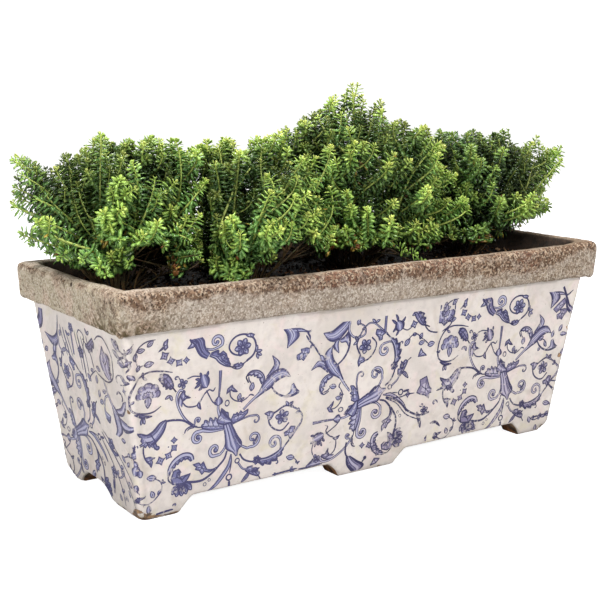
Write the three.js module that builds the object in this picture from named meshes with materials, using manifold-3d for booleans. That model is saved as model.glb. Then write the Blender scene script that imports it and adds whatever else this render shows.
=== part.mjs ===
// Ceramic trough planter: one fired ceramic trough on six feet, three crocks over
// its drainage holes, a fill of compost and four small-leaved shrubs with their root balls.
// Millimetres, +Z up, X along the trough, front face towards -Y.
// Origin: centre of the footprint, on the surface that the feet stand on.
import * as THREE from 'three';
import { mergeVertices } from 'three/addons/utils/BufferGeometryUtils.js';
import Module from 'manifold-3d';

const wasm = await Module();
wasm.setup();

// ---------- driving dimensions ----------
const GAP = 0.3;              // running gap between pieces that touch
const RIM_TOP = 148.3;        // height of the trough
const RIM_BOTTOM = 123.9;     // underside of the thick rim band
const RIM_HX = 200, RIM_HY = 77;      // half length and half width over the rim
const WALL_TOP_HX = 192, WALL_TOP_HY = 69.1; // wall outside, just under the rim
const WALL_BASE_HX = 176.5, WALL_BASE_HY = 54.1; // wall outside at the feet
const MOUTH_HX = 189.5, MOUTH_HY = 66.5;   // inside of the rim
const CAVITY_TOP_HX = 183, CAVITY_TOP_HY = 60;   // cavity at the rim's underside
const CAVITY_FLOOR_HX = 171, CAVITY_FLOOR_HY = 48; // cavity just above the floor fillet
const FLOOR_Z = 24;           // top of the trough's floor
const POCKET_Z = 14;          // ceiling of the recess under the floor
const FOOT_DEPTH = 20;        // how far the foot ring reaches in from the wall
const ARCH_Z = 11.5;          // height of the arches between the feet
const CORNER_FOOT_X = 149;    // inner end of a corner foot on the long sides, on the ground
const MID_FOOT_HX = 24;       // half length of the middle foot, on the ground
const OGEE_CORNER = 9;        // run of the curve from the corner foot up to the arch
const OGEE_MID = 10;          // run of the curve from the middle foot up to the arch
const END_ARCH = [-17, 36];   // ends of the arch on the short sides, on the ground
const END_OGEE = 15;          // run of the curves at the ends of that arch
const HOLE_R = 7, HOLE_X = [-100, 0, 100]; // drainage holes
const SOIL_Z = 136;           // level of the compost
const BALL_TOP = 29, BALL_BOTTOM = 24, BALL_Z0 = 74; // root balls from 6 cm square pots: half widths and underside
const PLANTS = [              // root ball centre, then the crown's rings [z, cx, cy, rx, ry]
  { x: -142, y: 5, rings: [[137.2, -142, 5, 24, 24], [150, -143, 10, 42, 42], [172, -154, 14, 60, 58],
    [200, -165, 18, 71, 66], [222, -166, 15, 66, 58], [238, -160, 12, 46, 42], [246, -155, 10, 20, 18]] },
  { x: -69, y: -10, rings: [[137.2, -69, -11, 24, 24], [150, -72, -17, 42, 40], [172, -78, -22, 56, 52],
    [196, -84, -24, 62, 60], [218, -84, -20, 56, 54], [234, -80, -14, 38, 36], [242, -78, -10, 16, 16]] },
  { x: 36, y: 0, rings: [[137.2, 36, 0, 25, 24], [150, 35, 0, 46, 44], [180, 30, 0, 72, 62],
    [215, 28, 2, 76, 64], [245, 26, 4, 60, 52], [262, 24, 4, 36, 32], [270, 24, 4, 14, 12]] },
  { x: 140, y: 6, rings: [[137.2, 140, 6, 24, 24], [150, 142, 6, 42, 42], [172, 156, 8, 62, 56],
    [198, 166, 10, 70, 64], [220, 166, 10, 62, 56], [234, 160, 8, 42, 38], [241, 156, 6, 18, 16]] },
];
// the crowns part along these upright planes: x at y = 0, and the slope dx/dy;
// no crown overhangs the next root ball, so each plant comes straight up
const PARTINGS = [[-102, 0.364], [-36, -0.25], [103, 0]];
const CROWN_GAP = 1.5;        // half the air between neighbouring crowns

// ---------- helpers ----------
// an outline of a rectangle with rounded corners, counter-clockwise seen from above
function roundedRing(hx, hy, r, z, seg = 6) {
  const pts = [];
  for (const [sx, sy, a0] of [[1, -1, -90], [1, 1, 0], [-1, 1, 90], [-1, -1, 180]]) {
    for (let i = 0; i <= seg; i++) {
      const a = (a0 + (90 * i) / seg) * Math.PI / 180;
      pts.push(new THREE.Vector3(sx * (hx - r) + r * Math.cos(a), sy * (hy - r) + r * Math.sin(a), z));
    }
  }
  return pts;
}
function ellipseRing(z, cx, cy, rx, ry, n = 20) {
  const pts = [];
  for (let i = 0; i < n; i++) {
    const a = (2 * Math.PI * i) / n;
    pts.push(new THREE.Vector3(cx + rx * Math.cos(a), cy + ry * Math.sin(a), z));
  }
  return pts;
}
// a closed body through rings of equal length, first ring lowest, closed by a fan at each end
function loft(rings) {
  const n = rings[0].length, pos = [], idx = [];
  for (const r of rings) for (const p of r) pos.push(p.x, p.y, p.z);
  for (let k = 0; k + 1 < rings.length; k++)
    for (let i = 0; i < n; i++) {
      const j = (i + 1) % n, a = k * n + i, b = k * n + j, c = (k + 1) * n + j, d = (k + 1) * n + i;
      idx.push(a, b, c, a, c, d);
    }
  for (const [k, flip] of [[0, true], [rings.length - 1, false]]) {
    const c = new THREE.Vector3();
    for (const p of rings[k]) c.addScaledVector(p, 1 / n);
    const m = pos.length / 3;
    pos.push(c.x, c.y, c.z);
    for (let i = 0; i < n; i++) {
      const a = k * n + i, b = k * n + ((i + 1) % n);
      flip ? idx.push(m, b, a) : idx.push(m, a, b);
    }
  }
  const g = new THREE.BufferGeometry();
  g.setAttribute('position', new THREE.Float32BufferAttribute(pos, 3));
  g.setIndex(idx);
  return g;
}
function solid(geometry) {
  const g = geometry.clone();
  for (const k of Object.keys(g.attributes)) if (k !== 'position') g.deleteAttribute(k);
  const m = mergeVertices(g, 1e-4);
  return new wasm.Manifold(new wasm.Mesh({
    numProp: 3,
    vertProperties: new Float32Array(m.attributes.position.array),
    triVerts: new Uint32Array(m.index.array),
  }));
}
function geometryOf(body) {
  const m = body.getMesh();
  const g = new THREE.BufferGeometry();
  g.setAttribute('position', new THREE.Float32BufferAttribute(m.vertProperties, 3));
  g.setIndex(Array.from(m.triVerts));
  g.computeVertexNormals();
  return g;
}
// a prism of an outline in the XZ plane, running from y0 to y1
function prismAlongY(points, y0, y1) {
  const g = new THREE.ExtrudeGeometry(new THREE.Shape(points), { depth: y1 - y0, bevelEnabled: false, steps: 1 });
  g.rotateX(Math.PI / 2);
  g.translate(0, y1, 0);
  return g;
}
// a prism of an outline in the YZ plane, running from x0 to x1
function prismAlongX(points, x0, x1) {
  const g = new THREE.ExtrudeGeometry(new THREE.Shape(points), { depth: x1 - x0, bevelEnabled: false, steps: 1 });
  g.rotateX(Math.PI / 2);
  g.rotateZ(Math.PI / 2);
  g.translate(x0, 0, 0);
  return g;
}
// an upright prism of an outline in plan
function prismAlongZ(points, z0, z1) {
  const g = new THREE.ExtrudeGeometry(new THREE.Shape(points), { depth: z1 - z0, bevelEnabled: false, steps: 1 });
  g.translate(0, 0, z0);
  return g;
}
// an arch outline: level at the ground, an S-shaped curve up at each end, flat on top
function archOutline(a, b, runA, runB, top) {
  const pts = [new THREE.Vector2(a, -3)];
  const n = 8;
  for (let i = 0; i <= n; i++) {
    const t = i / n, s = t * t * (3 - 2 * t);
    pts.push(new THREE.Vector2(a + runA * (0.35 * t + 0.65 * s), top * (0.25 * t + 0.75 * Math.sin(t * Math.PI / 2))));
  }
  for (let i = n; i >= 0; i--) {
    const t = i / n, s = t * t * (3 - 2 * t);
    pts.push(new THREE.Vector2(b - runB * (0.35 * t + 0.65 * s), top * (0.25 * t + 0.75 * Math.sin(t * Math.PI / 2))));
  }
  pts.push(new THREE.Vector2(b, -3));
  return pts;
}
const part = new THREE.Group();
const finish = {
  ceramic: { color: 0xe6dfd0, roughness: 0.5, metalness: 0 },
  crock: { color: 0xa85c38, roughness: 0.85, metalness: 0 },
  compost: { color: 0x1d1712, roughness: 0.98, metalness: 0 },
  roots: { color: 0x2b221a, roughness: 0.95, metalness: 0 },
  leaf: { color: 0x4f7a35, roughness: 0.6, metalness: 0 },
};
function piece(name, geometry, look) {
  const mesh = new THREE.Mesh(geometry, new THREE.MeshStandardMaterial(finish[look]));
  mesh.name = name;
  part.add(mesh);
  return mesh;
}
const wallHx = (z) => WALL_BASE_HX + (WALL_TOP_HX - WALL_BASE_HX) * z / RIM_BOTTOM;
const wallHy = (z) => WALL_BASE_HY + (WALL_TOP_HY - WALL_BASE_HY) * z / RIM_BOTTOM;
const cavT = (z) => (z - FLOOR_Z - 8) / (RIM_BOTTOM - FLOOR_Z - 8);
const cavHx = (z) => z > RIM_BOTTOM
  ? CAVITY_TOP_HX + (MOUTH_HX - CAVITY_TOP_HX) * (z - RIM_BOTTOM) / (RIM_TOP - 4 - RIM_BOTTOM)
  : CAVITY_FLOOR_HX + (CAVITY_TOP_HX - CAVITY_FLOOR_HX) * cavT(z);
const cavHy = (z) => z > RIM_BOTTOM
  ? CAVITY_TOP_HY + (MOUTH_HY - CAVITY_TOP_HY) * (z - RIM_BOTTOM) / (RIM_TOP - 4 - RIM_BOTTOM)
  : CAVITY_FLOOR_HY + (CAVITY_TOP_HY - CAVITY_FLOOR_HY) * cavT(z);

// ---------- trough: tapering walls, thick rim, floor, six feet ----------
{
  const R = [];
  const ring = (hx, hy, r, z) => R.push(roundedRing(hx, hy, r, z));
  // rounded bottom edge of the feet, then the sloping wall
  ring(WALL_BASE_HX - 3.2, WALL_BASE_HY - 3.2, 4, 0);
  ring(WALL_BASE_HX - 1.0, WALL_BASE_HY - 1.0, 5, 0.9);
  ring(wallHx(3.2), wallHy(3.2), 5.5, 3.2);
  ring(WALL_TOP_HX, WALL_TOP_HY, 5, RIM_BOTTOM);
  // rim band: underside, outer face that leans out a little, rounded top
  ring(RIM_HX - 2.6, RIM_HY - 2.6, 2.5, RIM_BOTTOM + 0.1);
  ring(RIM_HX - 1.4, RIM_HY - 1.4, 3, RIM_BOTTOM + 1.6);
  ring(RIM_HX, RIM_HY, 3.5, RIM_TOP - 3.2);
  ring(RIM_HX - 0.9, RIM_HY - 0.9, 3.2, RIM_TOP - 1);
  ring(RIM_HX - 3.2, RIM_HY - 3.2, 3, RIM_TOP);
  ring(MOUTH_HX + 2.2, MOUTH_HY + 2.2, 10, RIM_TOP);
  ring(MOUTH_HX + 0.6, MOUTH_HY + 0.6, 10, RIM_TOP - 1);
  // cavity: mouth, neck under the rim, tapering sides, floor fillet
  ring(MOUTH_HX, MOUTH_HY, 10, RIM_TOP - 4);
  ring(CAVITY_TOP_HX, CAVITY_TOP_HY, 11, RIM_BOTTOM);
  ring(CAVITY_FLOOR_HX, CAVITY_FLOOR_HY, 11, FLOOR_Z + 8);
  ring(CAVITY_FLOOR_HX - 2.2, CAVITY_FLOOR_HY - 2.2, 9.5, FLOOR_Z + 2.6);
  ring(CAVITY_FLOOR_HX - 7, CAVITY_FLOOR_HY - 7, 7, FLOOR_Z);
  let body = solid(loft(R));
  // recess under the floor, inside the foot ring
  const px = WALL_BASE_HX - FOOT_DEPTH, py = WALL_BASE_HY - FOOT_DEPTH;
  body = body.subtract(solid(loft([roundedRing(px, py, 8, -3), roundedRing(px, py, 8, POCKET_Z)])));
  // arches that leave the feet standing: two along the length, one across
  for (const s of [-1, 1]) {
    const outline = s < 0
      ? archOutline(-CORNER_FOOT_X, -MID_FOOT_HX, OGEE_CORNER, OGEE_MID, ARCH_Z)
      : archOutline(MID_FOOT_HX, CORNER_FOOT_X, OGEE_MID, OGEE_CORNER, ARCH_Z);
    body = body.subtract(solid(prismAlongY(outline, -90, 90)));
  }
  body = body.subtract(solid(prismAlongX(archOutline(END_ARCH[0], END_ARCH[1], END_OGEE, END_OGEE, ARCH_Z), -210, 210)));
  for (const x of HOLE_X) {
    const c = new THREE.CylinderGeometry(HOLE_R, HOLE_R, 24, 24);
    c.rotateX(Math.PI / 2);
    c.translate(x, 0, 18);
    body = body.subtract(solid(c));
  }
  piece('trough_body', geometryOf(body), 'ceramic');
}

// ---------- crocks: curved shards of a broken pot, one over each hole ----------
const CROCK_R0 = 24, CROCK_R1 = 29, CROCK_A = 48 * Math.PI / 180, CROCK_HW = 18;
const shardPlans = [
  [[-19, -12], [-6, -17], [12, -15], [19, -4], [16, 12], [2, 17], [-14, 14], [-20, 2]],
  [[-18, -15], [4, -17], [19, -11], [18, 6], [9, 16], [-9, 17], [-20, 6]],
  [[-20, -6], [-11, -16], [8, -17], [20, -9], [17, 9], [6, 17], [-12, 15]],
];
function shard(k) {
  const pts = [];
  const n = 10;
  for (let i = 0; i <= n; i++) {
    const a = Math.PI / 2 + CROCK_A - (2 * CROCK_A * i) / n;
    pts.push(new THREE.Vector2(CROCK_R0 * Math.cos(a), CROCK_R0 * Math.sin(a)));
  }
  for (let i = n; i >= 0; i--) {
    const a = Math.PI / 2 + CROCK_A - (2 * CROCK_A * i) / n;
    pts.push(new THREE.Vector2(CROCK_R1 * Math.cos(a), CROCK_R1 * Math.sin(a)));
  }
  const plan = shardPlans[k].map(([x, y]) => new THREE.Vector2(x, y));
  const arc = solid(prismAlongY(pts, -CROCK_HW, CROCK_HW));
  return arc.intersect(solid(prismAlongZ(plan, 0, 40)));
}
const crockNames = ['crock_left', 'crock_middle', 'crock_right'];
HOLE_X.forEach((x, k) => {
  let s = shard(k);
  const low = s.boundingBox().min[2];
  s = s.translate([x, 0, FLOOR_Z + GAP - low]);
  piece(crockNames[k], geometryOf(s), 'crock');
});

// ---------- compost: fills the cavity, with a pocket for each root ball ----------
const ballRings = (p, grow) => [
  roundedRing(BALL_BOTTOM + grow, BALL_BOTTOM + grow, 8, BALL_Z0 - grow, 4),
  roundedRing(BALL_TOP + grow + (grow ? 0.4 : 0), BALL_TOP + grow + (grow ? 0.4 : 0), 11, grow ? SOIL_Z + 4 : SOIL_Z, 4),
].map((r) => r.map((v) => new THREE.Vector3(v.x + p.x, v.y + p.y, v.z)));
{
  const R = [];
  const ring = (z, inset, r) => R.push(roundedRing(cavHx(z) - inset, cavHy(z) - inset, r, z));
  R.push(roundedRing(CAVITY_FLOOR_HX - 7.6, CAVITY_FLOOR_HY - 7.6, 7, FLOOR_Z + GAP));
  R.push(roundedRing(CAVITY_FLOOR_HX - 2.9, CAVITY_FLOOR_HY - 2.9, 9, FLOOR_Z + 2.8));
  ring(FLOOR_Z + 8.2, 0.5, 10.5);
  ring(RIM_BOTTOM, 0.5, 10.5);
  ring(SOIL_Z - 1.2, 0.6, 10);
  ring(SOIL_Z, 3.5, 8);
  let fill = solid(loft(R));
  for (const p of PLANTS) fill = fill.subtract(solid(loft(ballRings(p, GAP))));
  for (const x of HOLE_X) {
    const g = new THREE.BoxGeometry(44, 38, 26);
    g.translate(x, 0, FLOOR_Z + 3);
    fill = fill.subtract(solid(g));
  }
  piece('compost', geometryOf(fill), 'compost');
}

// ---------- plants: a root ball and a crown each ----------
const halfPlane = (k, sign, gap) => {
  // an upright prism over everything on one side of parting plane k
  const [x0, m] = PARTINGS[k];
  const X = (y) => x0 + m * y + sign * gap;
  const far = sign * 400;
  const pts = [[X(-200), -200], [X(200), 200], [far, 200], [far, -200]].map(([x, y]) => new THREE.Vector2(x, y));
  return solid(prismAlongZ(pts, 100, 320));
};
PLANTS.forEach((p, i) => {
  piece(`plant_${i + 1}_rootball`, loft(ballRings(p, 0)), 'roots');
  let crown = solid(loft(p.rings.map((r) => ellipseRing(...r))));
  if (i > 0) crown = crown.intersect(halfPlane(i - 1, 1, CROWN_GAP));
  if (i < PLANTS.length - 1) crown = crown.intersect(halfPlane(i, -1, CROWN_GAP));
  piece(`plant_${i + 1}_foliage`, geometryOf(crown), 'leaf');
});

export default part;
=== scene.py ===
import math

import bpy
import numpy as np
from mathutils import Matrix, Vector
from mathutils.bvhtree import BVHTree


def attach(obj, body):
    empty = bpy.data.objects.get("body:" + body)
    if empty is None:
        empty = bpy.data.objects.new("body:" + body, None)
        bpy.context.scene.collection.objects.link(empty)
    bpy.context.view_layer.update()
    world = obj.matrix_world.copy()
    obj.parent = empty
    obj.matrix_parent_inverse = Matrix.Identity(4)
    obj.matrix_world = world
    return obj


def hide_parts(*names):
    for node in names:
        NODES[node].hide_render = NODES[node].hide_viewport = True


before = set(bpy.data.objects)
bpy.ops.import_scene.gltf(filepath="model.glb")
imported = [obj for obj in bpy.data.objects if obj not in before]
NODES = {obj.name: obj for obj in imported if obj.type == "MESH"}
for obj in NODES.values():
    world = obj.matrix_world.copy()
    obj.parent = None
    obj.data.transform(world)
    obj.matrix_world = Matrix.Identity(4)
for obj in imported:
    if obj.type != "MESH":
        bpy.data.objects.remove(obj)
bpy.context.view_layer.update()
MM = 0.001

# ---------------------------------------------------------------- camera
cam_data = bpy.data.cameras.new("camera")
cam = bpy.data.objects.new("camera", cam_data)
bpy.context.scene.collection.objects.link(cam)
cam_data.sensor_width = 36.0
cam_data.lens = 69.3456
cam_data.clip_start, cam_data.clip_end = 0.01, 50.0
right = Vector((0.824889, -0.565274, 0.004901))
up = Vector((0.102212, 0.157671, 0.982188))
back = -Vector((0.555978, 0.809695, -0.187839))
m = Matrix.Identity(4)
for i, v in enumerate((right, up, back)):
    for j in range(3):
        m[j][i] = v[j]
m.translation = Vector((-0.47856, -0.66673, 0.27071))
cam.matrix_world = m
bpy.context.scene.camera = cam
bpy.context.scene.view_settings.view_transform = "Standard"

# ---------------------------------------------------------------- sizes of the trough, in mm
RIM_TOP, RIM_BOTTOM = 148.3, 123.9
RIM_HX, RIM_HY = 200.0, 77.0
WALL_TOP = (192.0, 69.1)
WALL_BASE = (176.5, 54.1)
MOUTH = (189.5, 66.5)
SOIL_Z = 136.0
PLANT_AT = [(-142, 5), (-69, -10), (36, 0), (140, 6)]
PARTINGS = [(-102, 0.364), (-36, -0.25), (103, 0.0)]


def wall_hx(z):
    return WALL_BASE[0] + (WALL_TOP[0] - WALL_BASE[0]) * z / RIM_BOTTOM


def wall_hy(z):
    return WALL_BASE[1] + (WALL_TOP[1] - WALL_BASE[1]) * z / RIM_BOTTOM


def past_wall(x, y, z, r=5.2):
    """How far a point lies outside the walls' rounded outline at its height; negative inside."""
    h = np.minimum(z, RIM_BOTTOM)
    qx, qy = np.abs(x) - (wall_hx(h) - r), np.abs(y) - (wall_hy(h) - r)
    return np.hypot(np.clip(qx, 0, None), np.clip(qy, 0, None)) + np.minimum(np.maximum(qx, qy), 0) - r


# ---------------------------------------------------------------- noise in numpy, the same every run
def _hash(ix, iy, iz, seed):
    h = (
        ix.astype(np.uint64) * np.uint64(374761393)
        + iy.astype(np.uint64) * np.uint64(668265263)
        + iz.astype(np.uint64) * np.uint64(2246822519)
        + np.uint64(seed) * np.uint64(3266489917)
    ) & np.uint64(0xFFFFFFFF)
    h = (h ^ (h >> np.uint64(15))) * np.uint64(2246822519) & np.uint64(0xFFFFFFFF)
    h = (h ^ (h >> np.uint64(13))) * np.uint64(3266489917) & np.uint64(0xFFFFFFFF)
    h = h ^ (h >> np.uint64(16))
    return (h & np.uint64(0xFFFFFF)).astype(float) / 0xFFFFFF


def vnoise(p, size, seed=1):
    """Smooth noise in -1..1 with cells of the given size, at the points p (n, 3)."""
    q = p / size + 1000.0
    i = np.floor(q).astype(np.int64)
    f = q - i
    f = f * f * f * (f * (f * 6 - 15) + 10)
    out = np.zeros(len(p))
    for dx in (0, 1):
        for dy in (0, 1):
            for dz in (0, 1):
                w = (
                    (f[:, 0] if dx else 1 - f[:, 0])
                    * (f[:, 1] if dy else 1 - f[:, 1])
                    * (f[:, 2] if dz else 1 - f[:, 2])
                )
                out += w * _hash(i[:, 0] + dx, i[:, 1] + dy, i[:, 2] + dz, seed)
    return out * 2 - 1


def fbm(p, size, octaves=3, seed=1, gain=0.5):
    out, amp, total = 0, 1.0, 0.0
    for k in range(octaves):
        out = out + amp * vnoise(p, size / 2**k, seed + 17 * k)
        total += amp
        amp *= gain
    return out / total


def cells(p, size, seed=1):
    """Distance to the nearest of scattered points, one per cell, in units of the cell, and that point's random number."""
    q = p / size + 1000.0
    base = np.floor(q).astype(np.int64)
    best, rnd = np.full(len(p), 9.0), np.zeros(len(p))
    for dx in (-1, 0, 1):
        for dy in (-1, 0, 1):
            for dz in (-1, 0, 1):
                c = base + np.array([dx, dy, dz])
                h = [_hash(c[:, 0], c[:, 1], c[:, 2], seed + k) for k in range(4)]
                d = np.sqrt(
                    (c[:, 0] + h[0] - q[:, 0]) ** 2
                    + (c[:, 1] + h[1] - q[:, 1]) ** 2
                    + (c[:, 2] + h[2] - q[:, 2]) ** 2
                )
                near = d < best
                best = np.where(near, d, best)
                rnd = np.where(near, h[3], rnd)
    return best, rnd


def step(a, b, x):
    t = np.clip((x - a) / (b - a), 0, 1)
    return t * t * (3 - 2 * t)


# ---------------------------------------------------------------- shader helpers
def lin(r, g, b):
    """A colour given in 0..255 screen values."""
    c = [v / 255 for v in (r, g, b)]
    return tuple(v / 12.92 if v <= 0.04045 else ((v + 0.055) / 1.055) ** 2.4 for v in c) + (1.0,)


class Tree:
    def __init__(self, name, roughness=0.6, specular=0.5):
        self.mat = bpy.data.materials.new(name)
        self.mat.use_nodes = True
        self.nt = self.mat.node_tree
        self.bsdf = next(n for n in self.nt.nodes if n.type == "BSDF_PRINCIPLED")
        self.bsdf.inputs["Roughness"].default_value = roughness
        self.bsdf.inputs["Specular IOR Level"].default_value = specular
        self.coord = self.add("ShaderNodeTexCoord").outputs["Object"]

    def add(self, kind, **inputs):
        n = self.nt.nodes.new(kind)
        for k, v in inputs.items():
            self.put(n.inputs[k.replace("_", " ")], v)
        return n

    def put(self, socket, v):
        if isinstance(v, bpy.types.NodeSocket):
            self.nt.links.new(v, socket)
        else:
            socket.default_value = v

    def noise(self, scale, detail=3.0, rough=0.55, distort=0.0, vector=None):
        n = self.add("ShaderNodeTexNoise", Scale=scale, Detail=detail, Roughness=rough, Distortion=distort)
        self.put(n.inputs["Vector"], vector or self.coord)
        return n.outputs["Fac"]

    def voronoi(self, scale, feature="F1", randomness=1.0, vector=None, out="Distance"):
        n = self.add("ShaderNodeTexVoronoi", Scale=scale, Randomness=randomness)
        n.feature = feature
        self.put(n.inputs["Vector"], vector or self.coord)
        return n.outputs[out]

    def grain(self, scale):
        """A random value for each small cell of the surface, mostly near a half."""
        return self.math("MULTIPLY", self.voronoi(scale, out="Color"), 1.0)

    def ramp(self, value, a, b, lo=0.0, hi=1.0):
        n = self.nt.nodes.new("ShaderNodeMapRange")
        n.interpolation_type = "SMOOTHSTEP"
        self.put(n.inputs["Value"], value)
        for k, v in zip(("From Min", "From Max", "To Min", "To Max"), (a, b, lo, hi)):
            n.inputs[k].default_value = v
        return n.outputs["Result"]

    def math(self, op, a, b=0.0, clamp=False):
        n = self.nt.nodes.new("ShaderNodeMath")
        n.operation, n.use_clamp = op, clamp
        self.put(n.inputs[0], a)
        self.put(n.inputs[1], b)
        return n.outputs[0]

    def mix(self, fac, a, b, blend="MIX"):
        n = self.nt.nodes.new("ShaderNodeMix")
        n.data_type, n.blend_type = "RGBA", blend
        self.put(n.inputs["Factor"], fac)
        self.put(n.inputs[6], a)
        self.put(n.inputs[7], b)
        return n.outputs[2]

    def mixf(self, fac, a, b):
        n = self.nt.nodes.new("ShaderNodeMix")
        n.data_type = "FLOAT"
        self.put(n.inputs["Factor"], fac)
        self.put(n.inputs[2], a)
        self.put(n.inputs[3], b)
        return n.outputs[0]

    def attr(self, name):
        n = self.add("ShaderNodeAttribute")
        n.attribute_name = name
        return n

    def bump(self, height, distance=0.0005, strength=1.0, normal=None):
        n = self.add("ShaderNodeBump", Strength=strength, Distance=distance)
        self.put(n.inputs["Height"], height)
        if normal is not None:
            self.put(n.inputs["Normal"], normal)
        return n.outputs["Normal"]

    def done(self, colour=None, rough=None, normal=None):
        if colour is not None:
            self.put(self.bsdf.inputs["Base Color"], colour)
        if rough is not None:
            self.put(self.bsdf.inputs["Roughness"], rough)
        if normal is not None:
            self.put(self.bsdf.inputs["Normal"], normal)
        return self.mat


def glaze_colour(t):
    """The pale glaze with its faint stains, shared by the bare glaze and the print on it."""
    c = t.mix(t.ramp(t.noise(34, 4), 0.35, 0.7), lin(223, 214, 207), lin(207, 198, 191))
    c = t.mix(t.ramp(t.noise(62, 4, distort=0.5), 0.50, 0.72, 0, 0.75), c, lin(226, 208, 204))
    c = t.mix(t.ramp(t.noise(78, 4, distort=0.4), 0.54, 0.76, 0, 0.75), c, lin(214, 205, 180))
    c = t.mix(t.ramp(t.noise(16, 4, distort=0.6), 0.54, 0.74, 0, 0.6), c, lin(198, 186, 173))
    c = t.mix(t.ramp(t.noise(44, 5, distort=0.8), 0.55, 0.70, 0, 0.45), c, lin(192, 178, 162))
    c = t.mix(t.ramp(t.noise(230, 3), 0.42, 0.75, 0, 0.40), c, lin(192, 182, 178))
    c = t.mix(t.ramp(t.noise(620, 2), 0.70, 0.77, 0, 0.75), c, lin(138, 120, 108))
    return c


def glaze_bump(t):
    h = t.math("ADD", t.math("MULTIPLY", t.noise(70, 3), 1.2), t.math("MULTIPLY", t.noise(420, 2), 0.35))
    return t.bump(h, 0.0006, 0.35)


# ---------------------------------------------------------------- mesh helpers
def link(name, me):
    o = bpy.data.objects.new(name, me)
    bpy.context.scene.collection.objects.link(o)
    return o


def coords(me):
    a = np.empty(len(me.vertices) * 3)
    me.vertices.foreach_get("co", a)
    return a.reshape(-1, 3)


def set_coords(me, a):
    me.vertices.foreach_set("co", np.ascontiguousarray(a, float).ravel())
    me.update()


def normals(me):
    a = np.empty(len(me.vertices) * 3)
    me.vertex_normals.foreach_get("vector", a)
    return a.reshape(-1, 3)


def edges(me):
    e = np.empty(len(me.edges) * 2, np.int32)
    me.edges.foreach_get("vertices", e)
    return e.reshape(-1, 2)


def relax(p, e, rounds=2, amount=0.5):
    n = len(p)
    count = np.bincount(e.ravel(), minlength=n).clip(1)[:, None]
    for _ in range(rounds):
        s = np.zeros_like(p)
        for k in range(3):
            s[:, k] = np.bincount(e[:, 0], p[e[:, 1], k], n) + np.bincount(e[:, 1], p[e[:, 0], k], n)
        p = p + amount * (s / count - p)
    return p


def remeshed(node, voxel):
    """A copy of a CAD node's mesh with even small faces."""
    src = NODES[node]
    tmp = link("tmp_" + node, src.data.copy())
    tmp.data.materials.clear()
    md = tmp.modifiers.new("remesh", "REMESH")
    md.mode, md.voxel_size, md.use_smooth_shade = "VOXEL", voxel * MM, True
    dg = bpy.context.evaluated_depsgraph_get()
    me = bpy.data.meshes.new_from_object(tmp.evaluated_get(dg))
    bpy.data.objects.remove(tmp)
    return me


def shade_smooth(me):
    me.polygons.foreach_set("use_smooth", np.ones(len(me.polygons), bool))


def put_attr(me, name, values, kind="FLOAT"):
    a = me.attributes.new(name, kind, "POINT")
    if kind == "FLOAT":
        a.data.foreach_set("value", np.asarray(values, np.float32))
    else:
        a.data.foreach_set("color", np.asarray(values, np.float32).ravel())


# ---------------------------------------------------------------- the trough
def smax(a, b, k=3.0):
    h = np.clip(0.5 + 0.5 * (a - b) / k, 0, 1)
    return b + (a - b) * h + k * h * (1 - h)


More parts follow.
